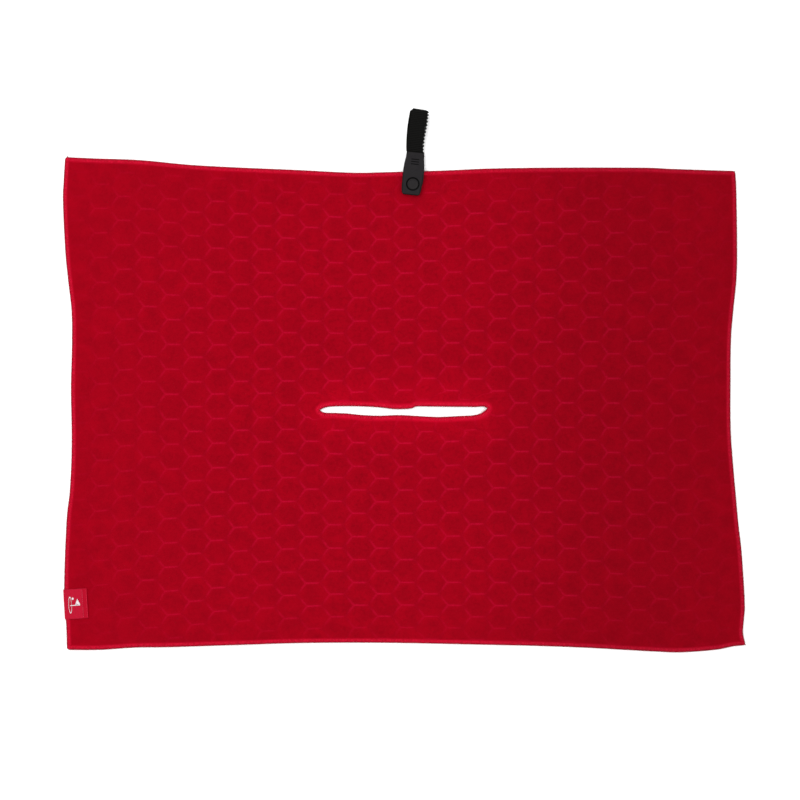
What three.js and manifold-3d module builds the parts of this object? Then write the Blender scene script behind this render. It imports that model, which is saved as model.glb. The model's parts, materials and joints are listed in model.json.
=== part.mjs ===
// Golf towel with a webbing loop that closes on a snap, and a slit in the middle of the cloth.
// Millimetres. X runs along the long side, Y towards the strap, Z up out of the cloth's front.
import * as THREE from "three";
import { mergeVertices } from "three/addons/utils/BufferGeometryUtils.js";
import Module from "manifold-3d";

const wasm = await Module();
wasm.setup();

// ---- Cloth ----
const CLOTH_T = 2.8; // pile to pile
const CORNER_R = 3;
const CORNERS = [
  [-383, 279],
  [374, 264],
  [385.2, -271.5],
  [-380.2, -275.5],
];
// Points each side runs through between its corners: top, right, bottom, left
const SIDES = [
  [[-300, 277.5], [-200, 269.5], [-65, 263.6], [25, 264.6], [115, 268], [230, 269], [310, 268.2]],
  [[376.5, 175], [370, 80], [368.5, 0], [374, -90], [382.5, -172], [385.6, -225]],
  [[345, -278.6], [300, -280.3], [206, -275], [100, -271.4], [0, -269], [-110, -269.4],
    [-200, -272.7], [-292, -274.2], [-345, -277.2]],
  [[-382.6, -245], [-384.6, -208], [-381, -117], [-376.5, -45], [-377, 60], [-382, 155],
    [-386.5, 227]],
];
const SIDE_NAMES = ["top", "right", "bottom", "left"];
// Which way each side moves when the outline is drawn in
const INWARD = [[0, -1], [-1, 0], [0, 1], [1, 0]];

// The slit's finished opening, right round from its left tip
const SLIT = [
  [-95.3, -6.3], [-92, -3], [-84, -1.8], [-55, -1.9], [-28, -2.6], [-10, -4.8], [4, -4.8],
  [12, -2.3], [40, -1.6], [75, -1.6], [89, -1.9], [94.4, -4.6], [91, -9.6], [78, -12.3],
  [42, -14], [-2, -13.2], [-50, -12.4], [-88, -9.9],
];

// ---- Overlock thread along the cut edges ----
const BAND = 4; // width of the thread band
const THREAD_T = 0.5; // how far the thread stands off the cut edge
const GAP = 0.3;
const RIM_LOW = 0.95; // the cloth is pinched to this height range inside the thread
const RIM_HIGH = 1.85;

// ---- Strap, in its own frame: origin at the snap, Y up the strap ----
const SNAP_AT = [9.4, 250.2];
const LEAN = THREE.MathUtils.degToRad(-5.8);
const WEB_W = 18.8;
const WEB_T = 1.2;
const TAIL_Y = -13; // the sewn end of the webbing, under the cloth
const FOLD_R = 4; // middle of the webbing
const FOLD_Y = 80.5;
const FOLD_Z = FOLD_R + WEB_T / 2;
const APEX_GAP = THREE.MathUtils.degToRad(2.2);
const CHANNEL_Z = 1.5; // the cloth passes over the webbing at this height
const TACK = { width: 15, thick: 0.8, low: 0.1, high: 2.9, at: [-9.3, 7.5] };
const LOOP_FACE = [42, 58]; // flat of the back run, from the tab's end to the middle of the loop

// ---- Tab ----
const TAB_TOP = 35.7;
const TAB_LOW = 3.1;
const TAB_HIGH = 7.6;
const WEB_Z = 5.15; // middle of the webbing inside the tab
const PEEL_Y = TAB_TOP + 2.4; // where the webbing flexes when the tab is peeled
const FRONT_COVER_LOW = 5.9;
const BACK_COVER_HIGH = 4.4;
const GRIP = { width: 9, thick: 1.1, deep: 0.5, pitch: 2.7, first: 22.6, count: 3 };

// ---- Snap ----
const HOLE_R = 2.1;
const SHANK_R = 1.8;
const FLANGE_R = 5.2;
const SOCKET_R = 5.4;
const CAP_R = 6.15;
const CAP_RECESS_R = 7.15;
const CAP_RECESS_Z = 6.6;

// ---- Side label, in its own frame: origin on its fold, X into the towel ----
const LABEL_AT = [-385.1, -226.2];
const LABEL_TURN = THREE.MathUtils.degToRad(3.4);
const LABEL = { depth: 26, length: 34, thick: 0.5, high: 3.6, bend: 1 };
const SEAM = { x: 20.5, length: 31, thick: 0.6, low: 0.15, high: 3.9 };

function solidOf(geometry) {
  const g = geometry.clone();
  g.deleteAttribute("normal");
  g.deleteAttribute("uv");
  const merged = mergeVertices(g, 1e-4);
  return new wasm.Manifold(
    new wasm.Mesh({
      numProp: 3,
      vertProperties: new Float32Array(merged.attributes.position.array),
      triVerts: new Uint32Array(merged.index.array),
    }),
  );
}

function geometryOf(solid) {
  const mesh = solid.getMesh();
  const g = new THREE.BufferGeometry();
  g.setAttribute("position", new THREE.BufferAttribute(mesh.vertProperties, 3));
  g.setIndex(new THREE.BufferAttribute(mesh.triVerts, 1));
  g.computeVertexNormals();
  return g;
}

// The towel's outline, drawn in by `inset` from the finished edge
function outline(inset) {
  const r = Math.max(CORNER_R - inset, 0.8);
  const corners = CORNERS.map((c, i) => {
    const before = INWARD[(i + 3) % 4];
    const after = INWARD[i];
    return new THREE.Vector2(
      c[0] + inset * (before[0] + after[0]),
      c[1] + inset * (before[1] + after[1]),
    );
  });
  const sides = SIDES.map((points, i) =>
    points.map((p) => new THREE.Vector2(p[0] + inset * INWARD[i][0], p[1] + inset * INWARD[i][1])),
  );
  const near = (corner, towards) =>
    corner.clone().add(towards.clone().sub(corner).setLength(r));
  const starts = sides.map((side, i) => near(corners[i], side[0]));
  const shape = new THREE.Shape();
  shape.moveTo(starts[0].x, starts[0].y);
  sides.forEach((side, i) => {
    const next = corners[(i + 1) % 4];
    const follow = starts[(i + 1) % 4];
    shape.splineThru([...side, near(next, side[side.length - 1])]);
    shape.quadraticCurveTo(next.x, next.y, follow.x, follow.y);
  });
  return new THREE.Shape(shape.getPoints(3).reverse());
}

// The slit's outline, let out by `outset` from the finished opening
function slit(outset, Kind = THREE.Shape) {
  const points = SLIT.map((p) => new THREE.Vector3(p[0], p[1], 0));
  const curve = new THREE.CatmullRomCurve3(points, true, "centripetal");
  const count = 72;
  const ring = Array.from({ length: count }, (_, i) => {
    const at = curve.getPointAt(i / count);
    const along = curve.getTangentAt(i / count);
    return new THREE.Vector2(at.x - along.y * outset, at.y + along.x * outset);
  });
  return new Kind(ring.reverse());
}

function plate(shape, low, high, segments = 3) {
  const g = new THREE.ExtrudeGeometry(shape, {
    depth: high - low,
    bevelEnabled: false,
    curveSegments: segments,
  });
  return g.translate(0, 0, low);
}

function ringPlate(outer, hole, low, high) {
  outer.holes.push(hole);
  return plate(outer, low, high);
}

function block(x0, x1, y0, y1, z0, z1) {
  return new THREE.BoxGeometry(x1 - x0, y1 - y0, z1 - z0).translate(
    (x0 + x1) / 2,
    (y0 + y1) / 2,
    (z0 + z1) / 2,
  );
}

function disc(radius, low, high) {
  return new THREE.CylinderGeometry(radius, radius, high - low, 40)
    .rotateX(Math.PI / 2)
    .translate(0, 0, (low + high) / 2);
}

// A profile of [radius, height] pairs, listed upwards round the outside, turned about the snap's axis
function turned(profile) {
  const points = profile.map((p) => new THREE.Vector2(p[0], p[1]));
  return new THREE.LatheGeometry(points, 40).rotateX(Math.PI / 2);
}

// A profile drawn along the strap (Y) and upwards (Z), given its width across the strap (X)
function acrossStrap(shape, width) {
  const g = new THREE.ExtrudeGeometry(shape, {
    depth: width,
    bevelEnabled: false,
    curveSegments: 9,
  });
  const turn = new THREE.Matrix4().set(0, 0, 1, 0, 1, 0, 0, 0, 0, 1, 0, 0, 0, 0, 0, 1);
  return g.applyMatrix4(turn).translate(-width / 2, 0, 0);
}

const strapFrame = new THREE.Matrix4()
  .makeTranslation(SNAP_AT[0], SNAP_AT[1], 0)
  .multiply(new THREE.Matrix4().makeRotationZ(LEAN));
const labelFrame = new THREE.Matrix4()
  .makeTranslation(LABEL_AT[0], LABEL_AT[1], 0)
  .multiply(new THREE.Matrix4().makeRotationZ(LABEL_TURN));

const onStrap = (geometry) => solidOf(geometry.applyMatrix4(strapFrame));
const onLabel = (geometry) => solidOf(geometry.applyMatrix4(labelFrame));

const tackSlots = TACK.at.map((y) =>
  block(-TACK.width / 2 - 0.4, TACK.width / 2 + 0.4, y - 0.7, y + 0.7, -1, 9),
);
const seamSlot = () =>
  block(SEAM.x - 0.6, SEAM.x + 0.6, -SEAM.length / 2 - 0.3, SEAM.length / 2 + 0.3, -1, 9);
const channel = () =>
  block(-WEB_W / 2 - 0.35, WEB_W / 2 + 0.35, TAIL_Y - 0.5, 40, -1, CHANNEL_Z);
const labelChannel = () =>
  block(-3, LABEL.depth + 0.4, -LABEL.length / 2 - 0.4, LABEL.length / 2 + 0.4, -1, 0.8);

const materials = {
  cloth: new THREE.MeshStandardMaterial({ color: 0xa8081c, roughness: 0.95 }),
  thread: new THREE.MeshStandardMaterial({ color: 0xd01033, roughness: 0.8 }),
  label: new THREE.MeshStandardMaterial({ color: 0xc8173a, roughness: 0.7 }),
  webbing: new THREE.MeshStandardMaterial({ color: 0x111112, roughness: 0.85 }),
  rubber: new THREE.MeshStandardMaterial({ color: 0x343236, roughness: 0.6 }),
  metal: new THREE.MeshStandardMaterial({ color: 0x2c2b2d, roughness: 0.35, metalness: 0.9 }),
  steel: new THREE.MeshStandardMaterial({ color: 0x8c8c8e, roughness: 0.35, metalness: 0.9 }),
};

const group = new THREE.Group();
group.name = "golf_towel";

function add(name, solid, material) {
  const mesh = new THREE.Mesh(geometryOf(solid), materials[material]);
  mesh.name = name;
  group.add(mesh);
}

// ---- Cloth: a thick middle and a pinched rim along the outer edge and the slit ----
const middle = solidOf(
  ringPlate(outline(BAND + GAP), slit(BAND + GAP, THREE.Path), 0, CLOTH_T),
);
const rim = solidOf(
  ringPlate(
    outline(THREAD_T + GAP),
    slit(THREAD_T + GAP, THREE.Path),
    RIM_LOW,
    RIM_HIGH,
  ),
);
let cloth = middle.add(rim);
for (const cut of [channel(), disc(HOLE_R, -1, 9), disc(FLANGE_R + GAP, 2.2, 9), ...tackSlots]) {
  cloth = cloth.subtract(onStrap(cut.clone()));
}
cloth = cloth.subtract(onLabel(labelChannel())).subtract(onLabel(seamSlot()));
add("towel_cloth", cloth, "cloth");

// ---- Overlock thread, wrapped round the pinched rim: a run along each side, and one round the slit ----
const grooveLow = RIM_LOW - GAP;
const grooveHigh = RIM_HIGH + GAP;
const edgeThread = solidOf(ringPlate(outline(0), outline(BAND), 0, CLOTH_T))
  .subtract(solidOf(plate(outline(THREAD_T), grooveLow, grooveHigh)))
  .subtract(onStrap(channel()))
  .subtract(onLabel(labelChannel()));

// Everything along one side of the towel, cut off at each corner on the diagonal
function alongSide(i) {
  const [x, y] = INWARD[i];
  const mitre = (k, inward, shift) => {
    const before = INWARD[(k + 3) % 4];
    const after = INWARD[k % 4];
    const corner = CORNERS[k % 4];
    return new THREE.Vector2(
      corner[0] + inward * (before[0] + after[0]) - shift * y,
      corner[1] + inward * (before[1] + after[1]) + shift * x,
    );
  };
  const gap = 0.75 * GAP;
  const outside = -10;
  const inside = 20;
  const ends = [
    mitre(i, inside, gap),
    mitre(i + 1, inside, -gap),
    mitre(i + 1, outside, -gap),
    mitre(i, outside, gap),
  ];
  return solidOf(plate(new THREE.Shape(ends), -1, 9));
}

SIDE_NAMES.forEach((side, i) => {
  add(`edge_overlock_${side}`, edgeThread.intersect(alongSide(i)), "thread");
});

const slitThread = solidOf(ringPlate(slit(BAND), slit(0, THREE.Path), 0, CLOTH_T)).subtract(
  solidOf(ringPlate(slit(BAND + 2), slit(THREAD_T, THREE.Path), grooveLow, grooveHigh)),
);
add("slit_overlock", slitThread, "thread");

// ---- Side label: a woven ribbon folded over the edge, held by one seam ----
const ribbon = new THREE.Shape();
const { depth, thick, high, bend } = LABEL;
ribbon.moveTo(depth, high);
ribbon.lineTo(bend, high);
ribbon.quadraticCurveTo(0, high, 0, high - bend);
ribbon.lineTo(0, bend);
ribbon.quadraticCurveTo(0, 0, bend, 0);
ribbon.lineTo(depth, 0);
ribbon.lineTo(depth, thick);
ribbon.lineTo(bend, thick);
ribbon.quadraticCurveTo(thick, thick, thick, bend);
ribbon.lineTo(thick, high - bend);
ribbon.quadraticCurveTo(thick, high - thick, bend, high - thick);
ribbon.lineTo(depth, high - thick);
const ribbonSolid = new THREE.ExtrudeGeometry(ribbon, {
  depth: LABEL.length,
  bevelEnabled: false,
  curveSegments: 5,
})
  .rotateX(Math.PI / 2)
  .translate(0, LABEL.length / 2, 0);
add("side_label", onLabel(ribbonSolid).subtract(onLabel(seamSlot())), "label");
add(
  "label_seam",
  onLabel(
    block(
      SEAM.x - SEAM.thick / 2,
      SEAM.x + SEAM.thick / 2,
      -SEAM.length / 2,
      SEAM.length / 2,
      SEAM.low,
      SEAM.high,
    ),
  ),
  "thread",
);

// ---- Webbing: sewn tail, back run and lower half of the fold ----
const inner = FOLD_R - WEB_T / 2;
const outer = FOLD_R + WEB_T / 2;
const back = new THREE.Shape();
back.moveTo(TAIL_Y, 0);
back.lineTo(FOLD_Y, 0);
back.absarc(FOLD_Y, FOLD_Z, outer, -Math.PI / 2, -APEX_GAP, false);
back.absarc(FOLD_Y, FOLD_Z, inner, -APEX_GAP, -Math.PI / 2, true);
back.lineTo(LOOP_FACE[1], WEB_T);
back.lineTo(LOOP_FACE[0], WEB_T);
back.lineTo(TAIL_Y, WEB_T);
let backRun = onStrap(acrossStrap(back, WEB_W));
for (const cut of [disc(HOLE_R, -1, 9), disc(FLANGE_R + GAP, -1, 0.7), ...tackSlots]) {
  backRun = backRun.subtract(onStrap(cut.clone()));
}
add("webbing_back_run", backRun, "webbing");

TACK.at.forEach((y, i) => {
  const bar = block(
    -TACK.width / 2,
    TACK.width / 2,
    y - TACK.thick / 2,
    y + TACK.thick / 2,
    TACK.low,
    TACK.high,
  );
  add(["bar_tack_low", "bar_tack_high"][i], onStrap(bar), "webbing");
});

// ---- Webbing: upper half of the fold and the front run down to the tab ----
const reach = new THREE.Vector2(FOLD_Y - PEEL_Y, FOLD_Z - WEB_Z);
const slope = Math.atan2(reach.y, reach.x) + Math.asin(FOLD_R / reach.length());
const top = Math.PI / 2 + slope;
const front = new THREE.Shape();
front.absarc(FOLD_Y, FOLD_Z, outer, APEX_GAP, top, false);
front.absarc(PEEL_Y, WEB_Z, WEB_T / 2, top, top + Math.PI, false);
front.absarc(FOLD_Y, FOLD_Z, inner, top, APEX_GAP, true);
add("webbing_front_run", onStrap(acrossStrap(front, WEB_W)), "webbing");

// ---- Tab: a front and a back cover over the webbing's end ----
function tabOutline(inset) {
  const half = [
    [9.6, TAB_TOP],
    [9.8, 31],
    [11.1, 19],
    [11.2, 4],
    [11, -5],
    [10.5, -9.4],
  ].map((p) => [p[0] - inset, Math.min(p[1], TAB_TOP - inset)]);
  const foot = -12.6 + inset;
  const shape = new THREE.Shape();
  shape.moveTo(half[0][0], half[0][1]);
  half.forEach((p) => shape.lineTo(p[0], p[1]));
  shape.quadraticCurveTo(half[5][0] - 0.4, foot, half[5][0] - 3.4, foot);
  shape.lineTo(-half[5][0] + 3.4, foot);
  shape.quadraticCurveTo(-half[5][0] + 0.4, foot, -half[5][0], half[5][1]);
  [...half].reverse().forEach((p) => shape.lineTo(-p[0], p[1]));
  return shape;
}

function bevelled(inset, low, high, bevel) {
  return new THREE.ExtrudeGeometry(tabOutline(inset), {
    depth: high - low - 2 * bevel,
    bevelThickness: bevel,
    bevelSize: inset,
    bevelSegments: 1,
    curveSegments: 5,
  }).translate(0, 0, low + bevel);
}

const body = solidOf(bevelled(1, TAB_LOW, TAB_HIGH, 0.7));
const webPocket = solidOf(block(-9.9, 9.9, -9.3, 60, 0, FRONT_COVER_LOW));
const aboveBack = solidOf(block(-20, 20, -20, 60, BACK_COVER_HIGH + 0.15, 20));
const openTop = solidOf(block(-20, 20, 22, 60, 0, FRONT_COVER_LOW));
let frontCover = body
  .intersect(aboveBack)
  .subtract(webPocket)
  .subtract(openTop)
  .subtract(solidOf(disc(HOLE_R, 0, 20)))
  .subtract(solidOf(disc(CAP_RECESS_R, CAP_RECESS_Z, 20)));
for (let i = 0; i < GRIP.count; i += 1) {
  const y = GRIP.first + i * GRIP.pitch;
  const groove = block(
    -GRIP.width / 2,
    GRIP.width / 2,
    y - GRIP.thick / 2,
    y + GRIP.thick / 2,
    TAB_HIGH - GRIP.deep,
    20,
  );
  frontCover = frontCover.subtract(solidOf(groove));
}
const backCover = body
  .intersect(solidOf(block(-20, 20, -20, 60, 0, BACK_COVER_HIGH)))
  .subtract(solidOf(disc(SOCKET_R + GAP, 0, 20)));
add("tab_front_cover", frontCover.transform(strapFrame.elements), "rubber");
add("tab_back_cover", backCover.transform(strapFrame.elements), "rubber");

const webEnd = solidOf(
  block(-WEB_W / 2, WEB_W / 2, -8.9, PEEL_Y - 1.3, WEB_Z - WEB_T / 2, WEB_Z + WEB_T / 2),
)
  .subtract(solidOf(disc(HOLE_R, 0, 20)))
  .subtract(solidOf(disc(SOCKET_R + GAP, 0, 5.1)));
add("webbing_tab_end", webEnd.transform(strapFrame.elements), "webbing");

// ---- Snap: post and stud on the cloth, cap, socket and spring in the tab ----
const post = turned([
  [0, 0.1],
  [FLANGE_R - 0.2, 0.1],
  [FLANGE_R, 0.25],
  [FLANGE_R, 0.5],
  [SHANK_R, 0.5],
  [SHANK_R, 3.85],
  [0, 3.85],
]);
add("snap_post", onStrap(post), "metal");

const stud = turned([
  [2.05, 2.45],
  [FLANGE_R, 2.45],
  [FLANGE_R, 2.7],
  [FLANGE_R - 0.2, 2.85],
  [2.6, 2.85],
  [2.5, 3.4],
  [2.9, 3.75],
  [2.9, 4.05],
  [2.4, 4.45],
  [0, 4.45],
  [0, 4],
  [2.05, 4],
  [2.05, 2.45],
]);
add("snap_stud", onStrap(stud), "steel");

const socket = turned([
  [3.2, 3],
  [SOCKET_R - 0.2, 3],
  [SOCKET_R, 3.2],
  [SOCKET_R, 4.95],
  [2, 4.95],
  [2, 4.6],
  [3.2, 4.6],
  [3.2, 4.2],
  [3.8, 4.2],
  [3.8, 3.3],
  [3.2, 3.3],
  [3.2, 3],
]);
add("snap_socket", onStrap(socket), "steel");

const spring = new THREE.TorusGeometry(3.28, 0.28, 8, 32).translate(0, 0, 3.72);
add("snap_spring", onStrap(spring), "steel");

const cap = turned([
  [0, 4.65],
  [SHANK_R, 4.65],
  [SHANK_R, 6.75],
  [CAP_R, 6.75],
  [CAP_R, 7.35],
  [CAP_R - 0.2, 7.55],
  [CAP_R - 0.7, 7.55],
  [CAP_R - 1.1, 7.3],
  [0, 7.2],
]);
add("snap_cap", onStrap(cap), "metal");

// ---- Stand the whole towel on the origin: middle of its box, underside at zero ----
const box = new THREE.Box3().setFromObject(group);
group.position.set(-(box.min.x + box.max.x) / 2, -(box.min.y + box.max.y) / 2, -box.min.z);

export default group;
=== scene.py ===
"""The looks of a golf towel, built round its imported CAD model.

Everything is worked out in millimetres in the towel's own frame, whose origin is the middle of the
cloth, and turned into metres in the row frame as each mesh is made.
"""

import functools
import json
import math

import bmesh
import bpy
import numpy as np
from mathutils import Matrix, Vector


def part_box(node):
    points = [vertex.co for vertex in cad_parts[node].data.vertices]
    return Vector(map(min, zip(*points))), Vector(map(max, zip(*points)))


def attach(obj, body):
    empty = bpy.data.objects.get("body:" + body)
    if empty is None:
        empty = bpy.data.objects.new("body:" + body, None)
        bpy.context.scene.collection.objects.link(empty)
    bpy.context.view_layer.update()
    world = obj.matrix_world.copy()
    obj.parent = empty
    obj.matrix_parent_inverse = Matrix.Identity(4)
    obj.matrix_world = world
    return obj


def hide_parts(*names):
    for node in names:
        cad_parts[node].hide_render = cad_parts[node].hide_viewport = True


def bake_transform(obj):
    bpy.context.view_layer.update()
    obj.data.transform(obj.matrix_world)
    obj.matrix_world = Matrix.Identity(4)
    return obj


MM = 0.001
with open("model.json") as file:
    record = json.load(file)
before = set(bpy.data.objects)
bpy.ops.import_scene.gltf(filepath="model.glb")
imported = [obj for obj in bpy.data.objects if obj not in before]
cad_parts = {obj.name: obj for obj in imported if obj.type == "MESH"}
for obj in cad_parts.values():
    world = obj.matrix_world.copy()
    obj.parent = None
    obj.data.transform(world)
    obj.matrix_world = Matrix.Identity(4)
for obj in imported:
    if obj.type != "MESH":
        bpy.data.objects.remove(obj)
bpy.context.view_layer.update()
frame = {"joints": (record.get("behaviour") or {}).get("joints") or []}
JOINTS = {j["name"]: j for j in frame["joints"]}

# ---- Cloth ----
CLOTH_T = 2.8
CORNER_R = 3.0
SPREAD = 0.35  # how far the edges stand out from the lines below
# Corners: top left, top right, bottom right, bottom left
CORNERS = [(-384.6, 281), (374.8, 265.2), (386.6, -272), (-382.6, -277.6)]
# Points each side runs through between its corners: top, right, bottom, left
SIDES = [
    [(-345, 279.2), (-300, 277.5), (-245, 272.4), (-197, 269.6), (-129, 266.6), (-61, 263.4),
     (-20, 264), (41, 265.7), (97, 268), (165, 269), (268, 268.9), (302, 267.6), (345, 266.1)],
    [(376.2, 240), (377, 175), (376.1, 141), (372.7, 107), (370.1, 73), (369.4, 22), (369.7, -29),
     (372.3, -66), (378.1, -131), (382, -165), (385.6, -222), (384.6, -243), (383.6, -258)],
    [(372, -273.6), (352.7, -277.4), (313, -280.3), (279, -279.1), (211, -275.3), (143, -272.8),
     (75, -271.3), (7, -269.9), (-61, -269.3), (-129, -270), (-197, -272.2), (-265, -274.4),
     (-305, -275), (-345, -277.5)],
    [(-383.6, -250), (-385.9, -205), (-383, -131), (-379.5, -97), (-377.2, -45), (-378, 20),
     (-376.8, 73), (-377.4, 107), (-381.3, 141), (-384.5, 175), (-387.1, 230), (-386.3, 254)],
]
SIDE_NAMES = ["top", "right", "bottom", "left"]
# The slit's finished opening, right round from its left tip
SLIT = [
    (-96, -5.8), (-93, -3.8), (-86, -1.9), (-66, -1.1), (-48, -1.4), (-29.5, -2.4), (-11.3, -4.4),
    (4.5, -4.1), (9.2, -3.3), (12.4, -1.7), (15, -1.45), (43, -1.7), (79, -2), (91, -1.9),
    (93.8, -3.6), (91, -6.7), (86.2, -9.8), (79, -11.7), (61, -12.8), (38, -13.8), (16, -12.8),
    (-6, -11.7), (-29.5, -12.4), (-48, -11.6), (-66, -9.8), (-80, -9.2), (-91, -8.7),
]
# The flat cut, with its origin on a column of hexagons: its left, right, lower and upper edges
CUT = {"left": -390.5, "right": 372.0, "low": -264.2, "high": 264.0}
SLIT_T = -5.6  # where the slit is cut
SLIT_OPEN = 3.4  # how far each side of the slit is drawn apart
SLIT_REACH = 112.0
# Embossed hexagons, flat side up: spacing of columns and rows, length of the flat sides
HEX = {"across": 26.56, "along": 26.57, "flat": 16.0, "row": 3.43}
ROUND_PAD = 5.0  # how far the sides of a hexagon round into one another
GROOVE = 0.62
GROOVE_W = 1.35
DOME = 0.34
PAD_HALF = 1.3  # half the thickness of the cloth where it is flat
RIM_INSET = 0.8
RIM_HALF = 0.42  # half the thickness of the edge under the thread
OVER_WEB, OVER_LABEL = 1.36, 0.6  # how far the back is pushed up by what is sewn there
WEB_SHOWS = 0.16  # how far the front rises over the webbing
SNAP_DENT = 0.45  # how far the stud draws the front down

# ---- Overlock thread ----
BAND = 4.1
STITCH = 1.7
THREAD_R = 0.39

# ---- Strap, in its own frame: origin at the snap, Y up the strap ----
SNAP_AT = (9.4, 250.2)
WEB_HALF = 9.35
WEB_T = 1.2
TAIL_Y = -13.0
FOLD_R = 4.0
FOLD_Y = 80.5
RIB = 1.98
PEEL_Y = 38.1
WEB_Z = 5.15  # middle of the webbing inside the tab
WEB_END = -8.9
TACKS_Y = {"low": -9.3, "high": 7.5}

# ---- Side label, in its own frame: origin on its fold, X into the towel ----
LABEL_AT = (-385.4, -226.2)
LABEL_TURN = math.radians(3.4)
LABEL = {"depth": 26.0, "length": 34.0, "thick": 0.45, "seam": 20.6, "inner": 25.2}
LABEL_TOP, LABEL_UNDER = 3.08, 0.06  # undersides of its front and back halves
LABEL_BEND = 3.2  # where it starts to turn round the edge
LABEL_ROWS = 52  # rows of points in each half

# ---- Tab: heights of its lowest face, the join between its covers, and its front ----
TAB_LOW, TAB_JOIN, TAB_HIGH = 3.1, 4.5, 7.6
POCKET_TOP = 5.9  # the hollow that the webbing's end lies in
FAR = 60  # past the end of anything that a cutter has to clear

# ---- Camera: width of its view at the cloth's front, and the view's middle in the row frame ----
VIEW_WIDTH = 907.2
VIEW_AT = (-4.73, -21.99)

# ---- Light ----
STUDIO = 1.25  # how much brighter than white the studio is, so that the floor stays white


# ======== Frames and small helpers ========

cap_low, cap_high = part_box("snap_cap")
snap_row = (cap_low + cap_high) / 2 / MM
TOWEL_AT = np.array([snap_row.x - SNAP_AT[0], snap_row.y - SNAP_AT[1], 0.0])
hinge = JOINTS["loop_unfold"]["axis"]
STRAP_X = np.array([-hinge[0], -hinge[1]])
STRAP_Y = np.array([hinge[1], -hinge[0]])
LABEL_X = np.array([math.cos(LABEL_TURN), math.sin(LABEL_TURN)])
LABEL_Y = np.array([-LABEL_X[1], LABEL_X[0]])


def smooth(t):
    t = np.clip(t, 0.0, 1.0)
    return t * t * (3 - 2 * t)


def lerp(a, b, t):
    return a + (b - a) * t


def unit(v):
    return v / np.maximum(np.linalg.norm(v, axis=-1, keepdims=True), 1e-9)


def placed(points, at, x_axis, y_axis):
    """Points of a small frame, such as the strap's, in the towel's frame."""
    p = np.asarray(points, float)
    flat = np.array(at) + p[..., :1] * x_axis + p[..., 1:2] * y_axis
    return np.concatenate([flat, p[..., 2:]], axis=-1)


def within(x, y, at, x_axis, y_axis):
    """Towel points in a small frame."""
    dx, dy = x - at[0], y - at[1]
    return dx * x_axis[0] + dy * x_axis[1], dx * y_axis[0] + dy * y_axis[1]


def on_strap(points):
    return placed(points, SNAP_AT, STRAP_X, STRAP_Y)


def on_label(points):
    return placed(points, LABEL_AT, LABEL_X, LABEL_Y)


def over_strap(x, y, half, below, fade):
    """1 where the cloth lies on the webbing's sewn tail, fading to 0 round it."""
    sx, sy = within(x, y, SNAP_AT, STRAP_X, STRAP_Y)
    return smooth((half - np.abs(sx)) / 5) * smooth((sy + below) / fade)


def over_label(x, y):
    """1 where the cloth lies on the label's back half, fading to 0 round it."""
    lx, ly = within(x, y, LABEL_AT, LABEL_X, LABEL_Y)
    return smooth((22 - np.abs(ly)) / 4) * smooth((31 - lx) / 4)


def lengths_along(points):
    """How far along a line each of its points is."""
    return np.concatenate([[0], np.cumsum(np.linalg.norm(np.diff(points, axis=0), axis=1))])


def ripple(x, y, length, seed, count=6):
    """A smooth random field from -1 to 1 whose waves are about `length` long."""
    rng = np.random.default_rng(seed)
    total = 0.0
    for _ in range(count):
        turn, phase = rng.uniform(0, 2 * math.pi, 2)
        k = 2 * math.pi / (length * rng.uniform(0.75, 1.4))
        total = total + np.sin(k * (x * math.cos(turn) + y * math.sin(turn)) + phase)
    return total / math.sqrt(count) / 1.5


# ======== Outline, and how the flat cut lies ========


def hermite(b, c, v0, v1, t):
    """A cubic from b to c that sets out along v0 and comes in along v1."""
    return (2 * b - 2 * c + v0 + v1) * t**3 + (3 * c - 3 * b - 2 * v0 - v1) * t**2 + v0 * t + b


def spline(points, per_span=14):
    """A smooth line through the points."""
    p = np.array([points[0], *points, points[-1]], float)
    t = np.linspace(0, 1, per_span, endpoint=False)[:, None]
    fours = zip(p, p[1:], p[2:], p[3:])
    spans = [hermite(b, c, (c - a) / 2, (d - b) / 2, t) for a, b, c, d in fours]
    return np.concatenate([*spans, p[-1:]])


def edge_of(side):
    return spline([CORNERS[side], *SIDES[side], CORNERS[(side + 1) % 4]])


TOP, RIGHT, BOTTOM, LEFT = (edge_of(i) for i in range(4))


def top_y(x):
    return np.interp(x, TOP[:, 0], TOP[:, 1]) + SPREAD


def bottom_y(x):
    return np.interp(x, BOTTOM[::-1, 0], BOTTOM[::-1, 1]) - SPREAD


def right_x(y):
    return np.interp(y, RIGHT[::-1, 1], RIGHT[::-1, 0]) + SPREAD


def left_x(y):
    return np.interp(y, LEFT[:, 1], LEFT[:, 0]) - SPREAD


def rounded(s, t):
    """The flat cut's square corners drawn in to round ones."""
    left, low = s - CUT["left"], t - CUT["low"]
    right, high = CUT["right"] - s, CUT["high"] - t
    a, b = np.minimum(left, right), np.minimum(low, high)
    p, q = CORNER_R - a, CORNER_R - b
    near = (p > 0) & (q > 0)
    k = np.where(near, np.maximum(p, q) / np.maximum(np.hypot(p, q), 1e-9), 1.0)
    s = s + np.where(near, (p - p * k) * np.where(left < right, 1, -1), 0)
    t = t + np.where(near, (q - q * k) * np.where(low < high, 1, -1), 0)
    return s, t


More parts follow.
